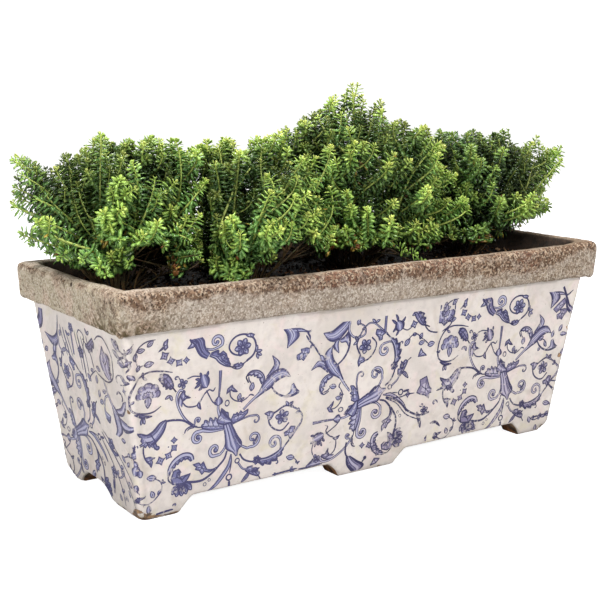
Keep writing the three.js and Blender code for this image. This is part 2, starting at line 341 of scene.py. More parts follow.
def trough():
    me = remeshed("trough_body", 1.3)
    me.name = "trough_shell"
    p = coords(me) * 1000
    e = edges(me)
    p = relax(p, e, 2, 0.5)
    set_coords(me, p * MM)
    n = normals(me)
    x, y, z = p.T
    ax, ay = np.abs(x), np.abs(y)
    rim = step(RIM_BOTTOM - 0.8, RIM_BOTTOM + 0.2, z)
    d_out = past_wall(x, y, z)
    outer = step(-2.6, -1.2, d_out) * (1 - rim)
    # distance from the rim's top outer edge and from its lower edge
    out_d = np.minimum(RIM_HX - ax, RIM_HY - ay)
    top_edge = np.hypot(np.clip(out_d, 0, 99), RIM_TOP - z)
    low_edge = np.where(out_d < 6, z - RIM_BOTTOM, 9.0)
    corner = np.hypot(np.clip(RIM_HX - 6 - ax, 0, 99), np.clip(RIM_HY - 6 - ay, 0, 99))
    # where the weathering bites: mostly the top face and its outer edge
    on_top = step(RIM_TOP - 3.2, RIM_TOP - 0.8, z) * step(-1, 0.5, out_d)
    patch = fbm(p, 55, 3, 5)
    belt = np.clip(np.maximum(on_top * step(-0.35, 0.25, patch + 0.1 * np.sign(-y)),
                              step(7.0, 1.0, top_edge) * step(-0.5, 0.2, patch)), 0, 1)
    c1, r1 = cells(p, 3.4, 11)
    c2, r2 = cells(p, 6.5, 12)
    pits = np.maximum(step(0.42, 0.15, c1) * (r1 > 0.35), step(0.34, 0.12, c2) * (r2 > 0.6))
    pit = pits * belt * rim
    stray = step(0.30, 0.10, c1) * (r1 > 0.93) * rim
    pit = np.clip(np.maximum(pit, stray), 0, 1)
    rough_rim = fbm(p, 5.0, 3, 21) * 0.28 + fbm(p, 40, 2, 22) * 0.55 + fbm(p, 2.2, 1, 23) * 0.10
    worn = step(4.0, 0.5, top_edge) * (0.5 + 0.5 * fbm(p, 12, 3, 24)) * 0.55
    along_front = np.interp(x, [-200, -193, -187, -176, -166, -150, -122, -105, -80, -50, -20, 20, 60, 100, 130, 150, 175, 192, 200],
                            [2.5, 4.5, 9.5, 11, 7, 4, 5.5, 7.5, 9, 9.5, 8.5, 10, 13, 14, 15, 12, 5.5, 4, 3.5])
    along_back = np.interp(x, [-200, -140, -60, 0, 80, 150, 200], [5, 9, 6, 11, 13, 7, 10])
    on_ends = np.where(x < 0, 1.6 + 1.6 * step(20, 60, y), 8.0)
    width = np.where(RIM_HX - ax < RIM_HY - ay, on_ends, np.where(y < 0, along_front, along_back))
    drop = RIM_TOP - z + 4.5 * fbm(p, 13, 3, 26)
    rough_band = step(width + 1.8, width - 1.8, drop) * rim * step(6.0, 3.0, out_d)
    pale_top = 1 - np.interp(x, [-200, -172, -120, -20], [0.0, 0.25, 0.7, 1.0])
    rough_band = rough_band * (1 - pale_top * on_top * step(0.6, 2.2, out_d))
    speckled = step(27, 9, np.hypot(x + 190, (y + 77) * 0.6)) * step(-0.5, 0.3, fbm(p, 5, 2, 30)) * rim * step(4, 2, out_d)
    rough_band = np.maximum(rough_band, 0.78 * speckled)
    crumbly = step(0.40, 0.16, cells(p, 2.4, 13)[0]) * rough_band
    chips_low = step(2.4, 0.2, low_edge) * step(0.15, 0.5, fbm(p, 9, 2, 25)) * 1.2 * rim
    disp = np.zeros(len(p))
    disp += rim * (rough_rim - 0.9 * pit - worn * step(-1, 1, out_d) - chips_low) - 0.55 * crumbly
    # glazed walls: handmade, a little uneven, chipped along the corners and the lower edge
    low = step(9, 0, z)
    wall_corner = np.hypot(np.clip(wall_hx(z) - 3.5 - ax, 0, 99), np.clip(wall_hy(z) - 3.5 - ay, 0, 99))
    c3, r3 = cells(p, 7.0, 31)
    chip = step(0.34, 0.16, c3) * (r3 > 0.80) * step(2.6, 0.4, wall_corner) * outer * step(96, 88, z)
    c4, r4 = cells(p, 5.5, 33)
    chip_low = step(0.45, 0.2, c4) * (r4 > 0.35) * step(4.5, 0.5, z) * outer
    tip_d = np.hypot(np.hypot(wall_hx(z) - ax, wall_hy(z) - ay), z)
    worn_tip = step(11, 3, tip_d + 2.5 * fbm(p, 6, 2, 34)) * step(0.2, 1.2, z)
    near_foot = step(15, 5, tip_d + 3.5 * fbm(p, 7, 2, 36)) * (x < 0) * (y < 0) * step(0.2, 1.2, z)
    end_foot = step(4.6, 1.6, z + 1.4 * fbm(p, 6, 2, 37)) * step(-8, -22, y) * (x < -150) * outer
    worn_tip = np.maximum(worn_tip, near_foot)
    wear = np.clip(chip + chip_low + 0.9 * worn_tip * step(-0.2, 0.3, fbm(p, 4, 3, 35)) + 0.8 * end_foot * step(-0.35, 0.1, fbm(p, 5, 2, 38)), 0, 1)
    disp_tip = -3.2 * step(10, 0, tip_d) * step(-3.4, -2.0, d_out)
    disp += outer * (fbm(p, 45, 2, 41) * 0.35 + fbm(p, 14, 2, 42) * 0.10) - 0.7 * wear + disp_tip
    # the walls' upright edges are crisper than their moulded core
    qx, qy = np.clip(ax - (wall_hx(z) - 5.2), 0, None), np.clip(ay - (wall_hy(z) - 5.2), 0, None)
    arris = 2 * qx * qy / np.maximum(qx * qx + qy * qy, 1e-6)
    disp += outer * (1.75 * arris + 0.5 * step(26, 4, wall_hy(z) - ay) * step(8, 2, wall_hx(z) - ax))
    qx, qy = np.clip(ax - (RIM_HX - 5), 0, None), np.clip(ay - (RIM_HY - 5), 0, None)
    disp += rim * 1.5 * 2 * qx * qy / np.maximum(qx * qx + qy * qy, 1e-6) * step(RIM_TOP + 0.5, RIM_TOP - 3, z)
    inside = (1 - rim) * (1 - outer)
    disp += inside * (fbm(p, 8, 3, 51) * 0.18 - 0.12)
    # nothing reaches past the cavity's own surface where the compost meets it
    cav = (z > 20) & (ax < wall_hx(z) - 4) & (ay < wall_hy(z) - 4)
    disp = np.where(cav & (z < RIM_BOTTOM + 14), np.minimum(disp, 0.0), disp)
    sole = (z < 0.8) & (n[:, 2] < -0.5)
    disp = np.where(sole, 0.0, disp)
    q = p + n * disp[:, None]
    # the hand-made rim is a little domed on top, and higher at the right end and the near left corner
    swell = 0.8 + 1.5 * step(46, 8, np.hypot(x + 192, y + 68)) + 2.3 * step(168, 193, x) + 0.3 * fbm(p, 30, 2, 29)
    dome = 0.55 + 0.45 * np.clip(1 - ((out_d - 5.5) / 6.5) ** 2, 0, 1)
    q[:, 2] += swell * dome * step(RIM_TOP - 5, RIM_TOP - 1, z) * rim
    q[:, 2] = np.maximum(q[:, 2], 0.0)
    q[:, 0] = np.clip(q[:, 0], -RIM_HX, RIM_HX)
    q[:, 1] = np.clip(q[:, 1], -RIM_HY, RIM_HY)
    q[:, 2] = np.minimum(q[:, 2], RIM_TOP + 4.0)
    set_coords(me, q * MM)
    shade_smooth(me)
    # fields that the finish reads
    put_attr(me, "glaze", outer)
    put_attr(me, "rim", rim)
    put_attr(me, "pit", pit)
    put_attr(me, "belt", belt * rim)
    put_attr(me, "wear", wear)
    put_attr(me, "foot", np.clip(step(13, 3, z) * (1 - outer), 0, 1))
    brown = np.interp(x, [-200, -150, -60, 60, 200], [0.15, 0.35, 0.6, 0.9, 1.0])
    put_attr(me, "topface", on_top * rim * brown)
    # the rim's inner face above the compost, which takes the soil stain and painted shade
    inward = np.maximum(-n[:, 0] * np.sign(x) * (RIM_HX - ax < 26), -n[:, 1] * np.sign(y) * (RIM_HY - ay < 26))
    put_attr(me, "inner", step(0.25, 0.65, inward) * step(116, 121, z) * step(RIM_TOP + 0.5, RIM_TOP - 1.2, z)
             * np.interp(x, [-200, 60, 150, 186], [1.0, 1.0, 1.0, 0.985]) * (1 - 0.7 * step(RIM_TOP - 6, RIM_TOP - 2, z) * step(-184, -188, x)))
    put_attr(me, "band", rough_band)
    put_attr(me, "leftend", rim * np.maximum(step(-196.5, -198.5, x), 0.6 * step(-150, -196, x)))
    put_attr(me, "crumbly", crumbly)
    put_attr(me, "stain", rim * step(-30, 110, x + 34 * fbm(p, 42, 3, 27)) * step(-0.45, 0.1, fbm(p, 24, 3, 28)))
    lowstain = step(11, 1, low_edge) * step(0.1, 0.6, fbm(p, 30, 3, 61)) * rim * (out_d < 8)
    near_corner = step(58, 14, np.hypot(x + 190, y + 66)) * step(13, 1, low_edge) * rim
    scorched = step(15, 5, np.abs(x - 160)) * step(5, 1, low_edge) * (y < 0) * rim
    put_attr(me, "moss", np.clip(near_corner * (0.72 + 0.95 * fbm(p, 6, 3, 62)) + 0.35 * lowstain + scorched * (0.4 + fbm(p, 3, 2, 64)), 0, 1))
    rust = step(0.05, 0.45, fbm(p, 38, 3, 63)) * belt * step(150, -60, np.abs(x + 10)) * (y < 0)
    put_attr(me, "rust", np.clip(rust, 0, 1))
    # flat parts need few faces, pits and chips keep theirs
    tmp = link("trough_fine", me)
    md = tmp.modifiers.new("thin", "DECIMATE")
    md.ratio = 190000 / (2 * len(me.polygons))
    dg = bpy.context.evaluated_depsgraph_get()
    light = bpy.data.meshes.new_from_object(tmp.evaluated_get(dg))
    bpy.data.objects.remove(tmp)
    me = light
    me.name = "trough_shell"
    shade_smooth(me)
    o = link("trough_shell", me)
    me.materials.append(trough_finish())
    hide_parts("trough_body")
    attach(o, "trough")
    return o


def trough_finish():
    t = Tree("fired_clay_glazed_walls_bare_rim", 0.5, 0.4)
    glaze = glaze_colour(t)
    # bare fired clay of the rim: grey-tan, mottled, with pale lime bloom
    rim = t.mix(t.ramp(t.noise(22, 6, distort=0.5), 0.36, 0.66), lin(168, 155, 142), lin(142, 128, 114))
    rim = t.mix(t.ramp(t.noise(60, 5), 0.50, 0.72, 0, 0.6), rim, lin(182, 171, 158))
    rim = t.mix(t.ramp(t.noise(36, 4, distort=0.4), 0.52, 0.70, 0, 0.5), rim, lin(168, 145, 125))
    rim = t.mix(t.ramp(t.noise(180, 4, distort=0.4), 0.50, 0.66, 0, 0.5), rim, lin(158, 141, 122))
    grit, fine_grit = t.grain(640), t.grain(1050)
    stained = t.mix(t.ramp(grit, 0.44, 0.60), lin(161, 143, 123), lin(118, 97, 78))
    rim = t.mix(t.math("MULTIPLY", t.attr("stain").outputs["Fac"], t.ramp(t.noise(90, 4), 0.36, 0.6, 0.25, 0.9)), rim, stained)
    warm = t.mix(t.ramp(t.noise(40, 4), 0.42, 0.60), lin(190, 178, 152), lin(206, 182, 160))
    rim = t.mix(t.math("MULTIPLY", t.attr("leftend").outputs["Fac"], 0.72), rim, warm)
    rim = t.mix(t.ramp(fine_grit, 0.57, 0.70, 0, 0.45), rim, lin(122, 105, 88))
    rim = t.mix(t.ramp(fine_grit, 0.43, 0.29, 0, 0.40), rim, lin(224, 214, 200))
    rim = t.mix(t.ramp(grit, 0.72, 0.79, 0, 0.6), rim, lin(98, 78, 60))
    rim = t.mix(t.math("MULTIPLY", t.attr("topface").outputs["Fac"], t.ramp(t.noise(34, 4), 0.3, 0.6, 0.45, 0.95)), rim, lin(127, 107, 87))
    worn = t.mix(t.ramp(grit, 0.34, 0.44), lin(172, 152, 130), lin(138, 110, 88))
    worn = t.mix(t.ramp(grit, 0.50, 0.60), worn, t.mix(t.ramp(t.noise(14, 3), 0.44, 0.62), lin(112, 88, 68), lin(116, 82, 64)))
    worn = t.mix(t.ramp(fine_grit, 0.58, 0.70, 0, 0.85), worn, lin(64, 44, 35))
    rim = t.mix(t.math("MULTIPLY", t.attr("band").outputs["Fac"], t.ramp(t.noise(120, 4), 0.34, 0.52, 0.45, 1.0)), rim, worn)
    rim = t.mix(t.math("MULTIPLY", t.attr("moss").outputs["Fac"], t.ramp(t.noise(240, 4), 0.39, 0.57, 0, 0.95)), rim, lin(88, 76, 48))
    dark_pits = t.math("MAXIMUM", t.attr("pit").outputs["Fac"], t.attr("crumbly").outputs["Fac"])
    rim = t.mix(t.ramp(t.math("ADD", dark_pits, t.math("MULTIPLY", t.noise(500, 3), 0.4)), 0.45, 0.9, 0, 0.9), rim, lin(56, 38, 29))
    # soil stain and painted shade: the rim's inner face above the compost darkened to near-black
    soil_stain_and_shade = t.mix(t.ramp(t.noise(110, 4), 0.38, 0.62), lin(47, 35, 27), lin(26, 20, 16))
    soil_stain_and_shade = t.mix(t.ramp(grit, 0.54, 0.72, 0, 0.5), soil_stain_and_shade, lin(68, 50, 38))
    rim = t.mix(t.math("MULTIPLY", t.attr("inner").outputs["Fac"], 0.985), rim, soil_stain_and_shade)
    # bare clay inside and under the trough, mottled orange-brown to near-black on the low unglazed parts and the feet's
    # cut faces
    clay = t.mix(t.ramp(t.noise(30, 5), 0.35, 0.68), lin(176, 158, 136), lin(146, 124, 102))
    clay = t.mix(t.ramp(t.noise(330, 3), 0.5, 0.7, 0, 0.5), clay, lin(112, 92, 74))
    foot = t.mix(t.ramp(t.noise(60, 5, distort=0.6), 0.35, 0.62), lin(158, 106, 66), lin(40, 30, 24))
    clay = t.mix(t.attr("foot").outputs["Fac"], clay, foot)
    chip = t.mix(t.ramp(t.noise(300, 3), 0.4, 0.6), lin(168, 128, 84), lin(84, 64, 50))
    g = t.ramp(t.math("ADD", t.attr("glaze").outputs["Fac"], t.math("MULTIPLY", t.math("SUBTRACT", t.noise(160, 4), 0.5), 0.5)), 0.42, 0.55)
    r = t.ramp(t.math("ADD", t.attr("rim").outputs["Fac"], t.math("MULTIPLY", t.math("SUBTRACT", t.noise(120, 4), 0.5), 0.5)), 0.42, 0.58)
    w = t.ramp(t.math("ADD", t.attr("wear").outputs["Fac"], t.math("MULTIPLY", t.math("SUBTRACT", t.noise(380, 4), 0.5), 0.7)), 0.42, 0.56)
    wall = t.mix(t.math("MULTIPLY", w, 0.9), glaze, chip)
    colour = t.mix(r, t.mix(g, clay, wall), rim)
    dull = t.mixf(r, t.mixf(g, 0.9, t.mixf(w, 0.40, 0.9)), 0.92)
    fine = t.math("ADD", t.math("MULTIPLY", t.noise(520, 5, 0.7), 1.0), t.math("MULTIPLY", t.noise(140, 4), 0.8))
    smooth = t.math("ADD", t.math("MULTIPLY", t.noise(70, 3), 0.5), t.math("MULTIPLY", t.noise(420, 2), 0.12))
    height = t.mixf(r, t.mixf(g, fine, smooth), fine)
    return t.done(colour, dull, t.bump(height, 0.0007, 0.8))


shell = trough()


# ---------------------------------------------------------------- the printed ornament
# Scrolling stems, acanthus, tulips, rosettes and sprigs in blue on the glaze, drawn as flat shapes in mm on
# the unrolled wall. One sheet is repeated round the trough, turned a quarter on its second place.
LIGHT, MID, DARK = 0, 1, 2


class Sheet:
    """Shapes of one sheet as grids of points (rows, columns, 2), each with its tone and layer."""

    def __init__(self):
        self.shapes = []
        self.turn, self.at, self.scale = 0.0, (0.0, 0.0), 1.0

    def place(self, p):
        c, s = math.cos(self.turn), math.sin(self.turn)
        p = np.asarray(p, float) * self.scale
        return np.stack([c * p[..., 0] - s * p[..., 1] + self.at[0], s * p[..., 0] + c * p[..., 1] + self.at[1]], -1)

    def grid(self, g, tone, layer):
        self.shapes.append((self.place(np.asarray(g, float)), tone, layer))


def curve(points, gap=0.9, closed=False):
    """An even polyline through the points on a centripetal Catmull-Rom curve."""
    p = np.asarray(points, float)
    if closed:
        p = np.vstack([p[-1:], p, p[:2]])
    elif len(p) == 2:
        n = max(2, int(np.hypot(*(p[1] - p[0])) / gap) + 1)
        return p[0] + (p[1] - p[0]) * np.linspace(0, 1, n)[:, None]
    else:
        p = np.vstack([2 * p[0] - p[1], p, 2 * p[-1] - p[-2]])
    out = []
    for i in range(1, len(p) - 2):
        a, b, c, d = p[i - 1 : i + 3]
        t = [0.0]
        for u, v in ((a, b), (b, c), (c, d)):
            t.append(t[-1] + max(np.hypot(*(v - u)), 1e-4) ** 0.5)
        n = max(2, int(np.hypot(*(c - b)) / 0.3))
        x = np.linspace(t[1], t[2], n, endpoint=False)[:, None]
        a1 = (t[1] - x) / (t[1] - t[0]) * a + (x - t[0]) / (t[1] - t[0]) * b
        a2 = (t[2] - x) / (t[2] - t[1]) * b + (x - t[1]) / (t[2] - t[1]) * c
        a3 = (t[3] - x) / (t[3] - t[2]) * c + (x - t[2]) / (t[3] - t[2]) * d
        b1 = (t[2] - x) / (t[2] - t[0]) * a1 + (x - t[0]) / (t[2] - t[0]) * a2
        b2 = (t[3] - x) / (t[3] - t[1]) * a2 + (x - t[1]) / (t[3] - t[1]) * a3
        out.append((t[2] - x) / (t[2] - t[1]) * b1 + (x - t[1]) / (t[2] - t[1]) * b2)
    out = np.vstack(out + [p[-2][None]])
    return even(out, gap)


def even(p, gap=None, n=None):
    d = np.concatenate([[0], np.cumsum(np.hypot(*np.diff(p, axis=0).T))])
    n = n or max(2, int(d[-1] / gap) + 1)
    s = np.linspace(0, d[-1], n)
    return np.stack([np.interp(s, d, p[:, 0]), np.interp(s, d, p[:, 1])], -1)


def side(p):
    """The direction to the left of a polyline at each point."""
    t = np.gradient(p, axis=0)
    t /= np.maximum(np.hypot(t[:, 0], t[:, 1]), 1e-6)[:, None]
    return np.stack([-t[:, 1], t[:, 0]], -1)


def ribbon(sh, p, w, tone=DARK, layer=3):
    w = np.broadcast_to(np.asarray(w, float), (len(p),))[:, None]
    w = (w * 1.12 + 0.22 * np.clip(w * 4, 0, 1) if tone == DARK else w) / 2
    n = side(p)
    sh.grid(np.stack([p + n * w, p - n * w]), tone, layer)


def line(sh, pts, w=0.5, tone=DARK, layer=3, taper=True):
    p = curve(pts)
    t = np.linspace(0, 1, len(p))
    ribbon(sh, p, w * (np.clip(np.minimum(t, 1 - t) * 6 + 0.35, 0, 1) if taper else 1), tone, layer)


def stem(sh, pts, w0=1.4, w1=0.8, ball=0.0, layer=2):
    """A drawn stalk: dark edges, a paler core a little to one side, and perhaps a bud at its end."""
    p = curve(pts)
    w = np.linspace(w0, w1, len(p))
    ribbon(sh, p, w, DARK, layer)
    core = np.clip(w - 0.75, 0, None)
    if w0 > 1.1:
        k = max(2, int(len(p) * min(1, (w0 - 0.9) / max(w0 - w1, 1e-3))))
        k = min(k, len(p))
        if k > 3:
            ribbon(sh, p[:k] + side(p)[:k] * 0.12, core[:k], LIGHT, layer + 0.4)
    if ball:
        disc(sh, p[-1], ball, DARK, layer)
        disc(sh, p[-1] + np.array([-0.25, 0.25]) * ball, ball * 0.45, LIGHT, layer + 0.4)
    return p


def body(sh, left, right, bands=(DARK, MID, LIGHT, LIGHT, MID, MID), layer=1, edge=0.55, veins=0):
    """A form between two edges, shaded across in bands, with a dark outline."""
    a, b = curve(left), curve(right)
    n = max(len(a), len(b), 4)
    a, b = even(a, n=n), even(b, n=n)
    k = len(bands)
    for i, tone in enumerate(bands):
        u0, u1 = i / k, (i + 1) / k
        sh.grid(np.stack([a + (b - a) * u0, a + (b - a) * u1]), tone, layer)
    if edge:
        t = np.linspace(0, 1, n)
        w = edge * (0.55 + 0.45 * np.sin(np.pi * t))
        ribbon(sh, a, w, DARK, layer + 0.6)
        ribbon(sh, b, w * 0.8, DARK, layer + 0.6)
    for v in range(veins):
        u = (v + 1) / (veins + 1)
        c = a + (b - a) * u
        m = max(3, int(n * (0.85 - 0.2 * (v % 2))))
        tt = np.linspace(0, 1, m)
        ribbon(sh, c[:m], 0.32 * (1 - 0.6 * tt), DARK, layer + 0.5)


def blade(sh, pts, w, bands=(DARK, MID, LIGHT, MID), layer=1, edge=0.5, fat=0.45, vein=True):
    """A simple leaf or petal along a spine, widest at `fat` of its length."""
    p = curve(pts, 0.7)
    t = np.linspace(0, 1, len(p))
    u = np.where(t < fat, t / fat, (1 - t) / (1 - fat))
    h = (w / 2 * np.sin(np.clip(u, 0, 1) * np.pi / 2) ** 0.9)[:, None]
    n = side(p)
    a, b = p + n * h, p - n * h
    k = len(bands)
    for i, tone in enumerate(bands):
        sh.grid(np.stack([a + (b - a) * (i / k), a + (b - a) * ((i + 1) / k)]), tone, layer)
    ribbon(sh, a, edge, DARK, layer + 0.6)
    ribbon(sh, b, edge, DARK, layer + 0.6)
    if vein:
        ribbon(sh, p[: int(len(p) * 0.85)], 0.35, DARK, layer + 0.5)


def acanthus(sh, pts, w_in, w_out, lobes=5, bands=(MID, LIGHT, MID, DARK), layer=1, edge=0.5, flip=False):
    """A lobed leaf along a spine: a smooth inner edge, and an outer edge cut into pointed lobes."""
    p = curve(pts, 0.5)
    t = np.linspace(0, 1, len(p))
    env = np.sin(np.clip(t * 1.15 + 0.12, 0, 1) * np.pi) ** 0.55
    env = np.where(t > 0.85, env * np.clip((1 - t) / 0.15, 0.05, 1) ** 0.5, env)
    saw = (t * lobes) % 1.0
    lobe = 0.42 + 0.58 * (1 - np.abs(saw - 0.72) / np.where(saw < 0.72, 0.72, 0.28)) ** 0.75
    n = side(p) * (-1 if flip else 1)
    fwd = np.gradient(p, axis=0)
    fwd /= np.maximum(np.hypot(*fwd.T), 1e-6)[:, None]
    outer = p + n * (w_out * env * lobe)[:, None] + fwd * (w_out * 0.35 * env * lobe)[:, None]
    inner = p - n * (w_in * env)[:, None]
    k = len(bands)
    for i, tone in enumerate(bands):
        sh.grid(np.stack([inner + (outer - inner) * (i / k), inner + (outer - inner) * ((i + 1) / k)]), tone, layer)
    ribbon(sh, outer, edge, DARK, layer + 0.6)
    ribbon(sh, inner, edge * 1.1, DARK, layer + 0.6)
    ribbon(sh, p[: int(len(p) * 0.9)], 0.4, DARK, layer + 0.5)
    for i in range(lobes):
        j = int(np.clip((i + 0.62) / lobes, 0, 1) * (len(p) - 1))
        a = p[max(j - 3, 0)]
        b = a + (outer[j] - a) * 0.75
        ribbon(sh, curve([a, b]), [0.35] * len(curve([a, b])), DARK, layer + 0.5)


def disc(sh, c, r, tone=MID, layer=2, n=12):
    a = np.linspace(0, 2 * np.pi, n + 1)
    rim = np.stack([np.cos(a), np.sin(a)], -1) * r + np.asarray(c)
    sh.grid(np.stack([rim, np.broadcast_to(np.asarray(c, float), rim.shape)]), tone, layer)


def ring(sh, c, r, w=0.7, tone=DARK, layer=2.5, ry=None, n=20):
    a = np.linspace(0, 2 * np.pi, n + 1)
    d = np.stack([np.cos(a) * 1.0, np.sin(a) * ((ry or r) / r)], -1)
    c = np.asarray(c, float)
    sh.grid(np.stack([c + d * (r - w / 2), c + d * (r + w / 2)]), tone, layer)


def scroll(sh, c, r, start, turns=1.15, way=1, w=1.5, head=1.2, lead=None):
    """A volute that winds in to a small head; `lead` are points that it comes from."""
    n = 26
    t = np.linspace(0, 1, n)
    a = math.radians(start) + way * t * turns * 2 * np.pi
    rr = r * (1 - t) ** 0.8 * 0.86 + r * 0.14
    spiral = np.stack([np.cos(a) * rr, np.sin(a) * rr], -1) + np.asarray(c, float)
    p = even(np.vstack([curve(lead), spiral]) if lead is not None else spiral, 0.8)
    w_ = w * np.interp(np.linspace(0, 1, len(p)), [0, 0.55, 1], [0.45, 1.0, 0.7])
    ribbon(sh, p, w_, DARK, 2)
    ribbon(sh, p, np.clip(w_ - 0.8, 0.05, None), LIGHT, 2.4)
    disc(sh, p[-1], head, DARK, 2.2)
    disc(sh, p[-1] + np.array([0.15, 0.2]), head * 0.5, MID, 2.6)


def petals(sh, c, r, count=5, turn=0.0, layer=2.0, wide=0.62, bands=(DARK, MID, LIGHT, MID, DARK)):
    c = np.asarray(c, float)
    for i in range(count):
        a = math.radians(turn) + 2 * np.pi * i / count
        d = np.array([math.cos(a), math.sin(a)])
        blade(sh, [c + d * r * 0.12, c + d * r * 0.6, c + d * r], r * wide, bands, layer, 0.42, 0.62, vein=False)
        ribbon(sh, curve([c + d * r * 0.2, c + d * r * 0.62]), 0.4, DARK, layer + 0.7)
    disc(sh, c, r * 0.17, DARK, layer + 1.0)
    disc(sh, c, r * 0.08, LIGHT, layer + 1.3)


def diamond(sh, c, r, turn=0.0):
    c = np.asarray(c, float)
    pts = []
    for i in range(8):
        a = math.radians(turn) + i * np.pi / 4
        q = r * (1.22 if i % 2 == 0 else 0.70)
        pts.append(c + q * np.array([math.cos(a), math.sin(a)]))
    pts.append(pts[0])
    rim = np.array(pts)
    sh.grid(np.stack([rim, c + (rim - c) * 0.66]), DARK, 2)
    sh.grid(np.stack([c + (rim - c) * 0.66, c + (rim - c) * 0.36]), MID, 2)
    sh.grid(np.stack([c + (rim - c) * 0.36, c + (rim - c) * 0.1]), LIGHT, 2)
    disc(sh, c, r * 0.24, DARK, 2.3, 6)


def leaf_pair(sh, c, r, turn, spread=50):
    c = np.asarray(c, float)
    for s in (-1, 1):
        a = math.radians(turn + s * spread)
        d = np.array([math.cos(a), math.sin(a)])
        blade(sh, [c, c + d * r * 0.5, c + d * r], r * 0.44, (MID, LIGHT, MID, DARK), 2, 0.36, vein=False)


def single_leaf(sh, c, r, turn, wide=0.62, dark=False):
    """An oval leaf centred on c."""
    a = math.radians(turn)
    d = np.array([math.cos(a), math.sin(a)])
    c = np.asarray(c, float)
    blade(sh, [c - d * r, c + 0 * d, c + d * r], 2 * r * wide, (MID, LIGHT, MID, DARK) if dark else (MID, LIGHT, LIGHT, MID), 2, 0.36, 0.45, vein=not dark)


def palmette(sh, c, r, turn=0.0):
    """A scalloped fan over a drop, like an open seed head."""
    c = np.asarray(c, float)
    ca, sa = math.cos(math.radians(turn)), math.sin(math.radians(turn))
    rot = np.array([[ca, -sa], [sa, ca]])
    a = np.radians(np.linspace(-28, 208, 61))
    k = 5
    f = (np.linspace(0, 1, 61) * k) % 1.0
    scallop = 0.84 + 0.16 * np.sin(np.pi * f) ** 0.6
    rim = np.stack([np.cos(a) * r * scallop, np.sin(a) * r * 0.86 * scallop], -1) @ rot.T + c
    foot = c + rot @ np.array([0, -0.30 * r])
    for u0, u1, tone in ((1.0, 0.66, MID), (0.66, 0.34, LIGHT), (0.34, 0.0, MID)):
        sh.grid(np.stack([foot + (rim - foot) * u0, foot + (rim - foot) * u1]), tone, 1.5)
    ribbon(sh, rim, 0.6, DARK, 2.6)
    for i in range(1, k):
        j = int(i / k * 60)
        ribbon(sh, curve([foot + (rim[j] - foot) * 0.72, foot + (rim[j] - foot) * 0.97]), 0.4, DARK, 2.5)
    inner = foot + (rim[::2] - foot) * (0.40 + 0.07 * (np.arange(31) % 4 < 2))[:, None]
    ribbon(sh, inner, 0.4, DARK, 2.7)
    drop = [foot + rot @ np.array(v) * r for v in ((0, 0.12), (0.02, -0.35), (0, -0.78))]
    blade(sh, drop, r * 0.52, (MID, LIGHT, LIGHT, MID), 2.8, 0.5, 0.35)


def jag(sh, outline, tone=MID, layer=1.2, edge=0.5, veins=True, light=True):
    """A small serrated leaf given by its outline, first point at its base, last back at the base."""
    o = np.asarray(outline, float)
    o = np.vstack([o, o[:1]])
    dense = np.vstack([np.linspace(a, b, 4, endpoint=False) for a, b in zip(o[:-1], o[1:])] + [o[-1:]])
    c = o[:-1].mean(0)
    sh.grid(np.stack([dense, c + (dense - c) * 0.5]), tone, layer)
    sh.grid(np.stack([c + (dense - c) * 0.5, np.broadcast_to(c, dense.shape)]), LIGHT if light else tone, layer)
    ribbon(sh, dense, edge, DARK, layer + 0.6)
    if veins:
        k = len(o) - 1
        for i in range(1, k, 2):
            ribbon(sh, curve([c, c + (o[i] - c) * 0.75]), 0.35, DARK, layer + 0.5)


def q(*pts):
    """Points of the drawing, laid out on a board with nine units to the millimetre, y down."""
    return [((x - 666) / 9, (621 - y) / 9) for x, y in pts]


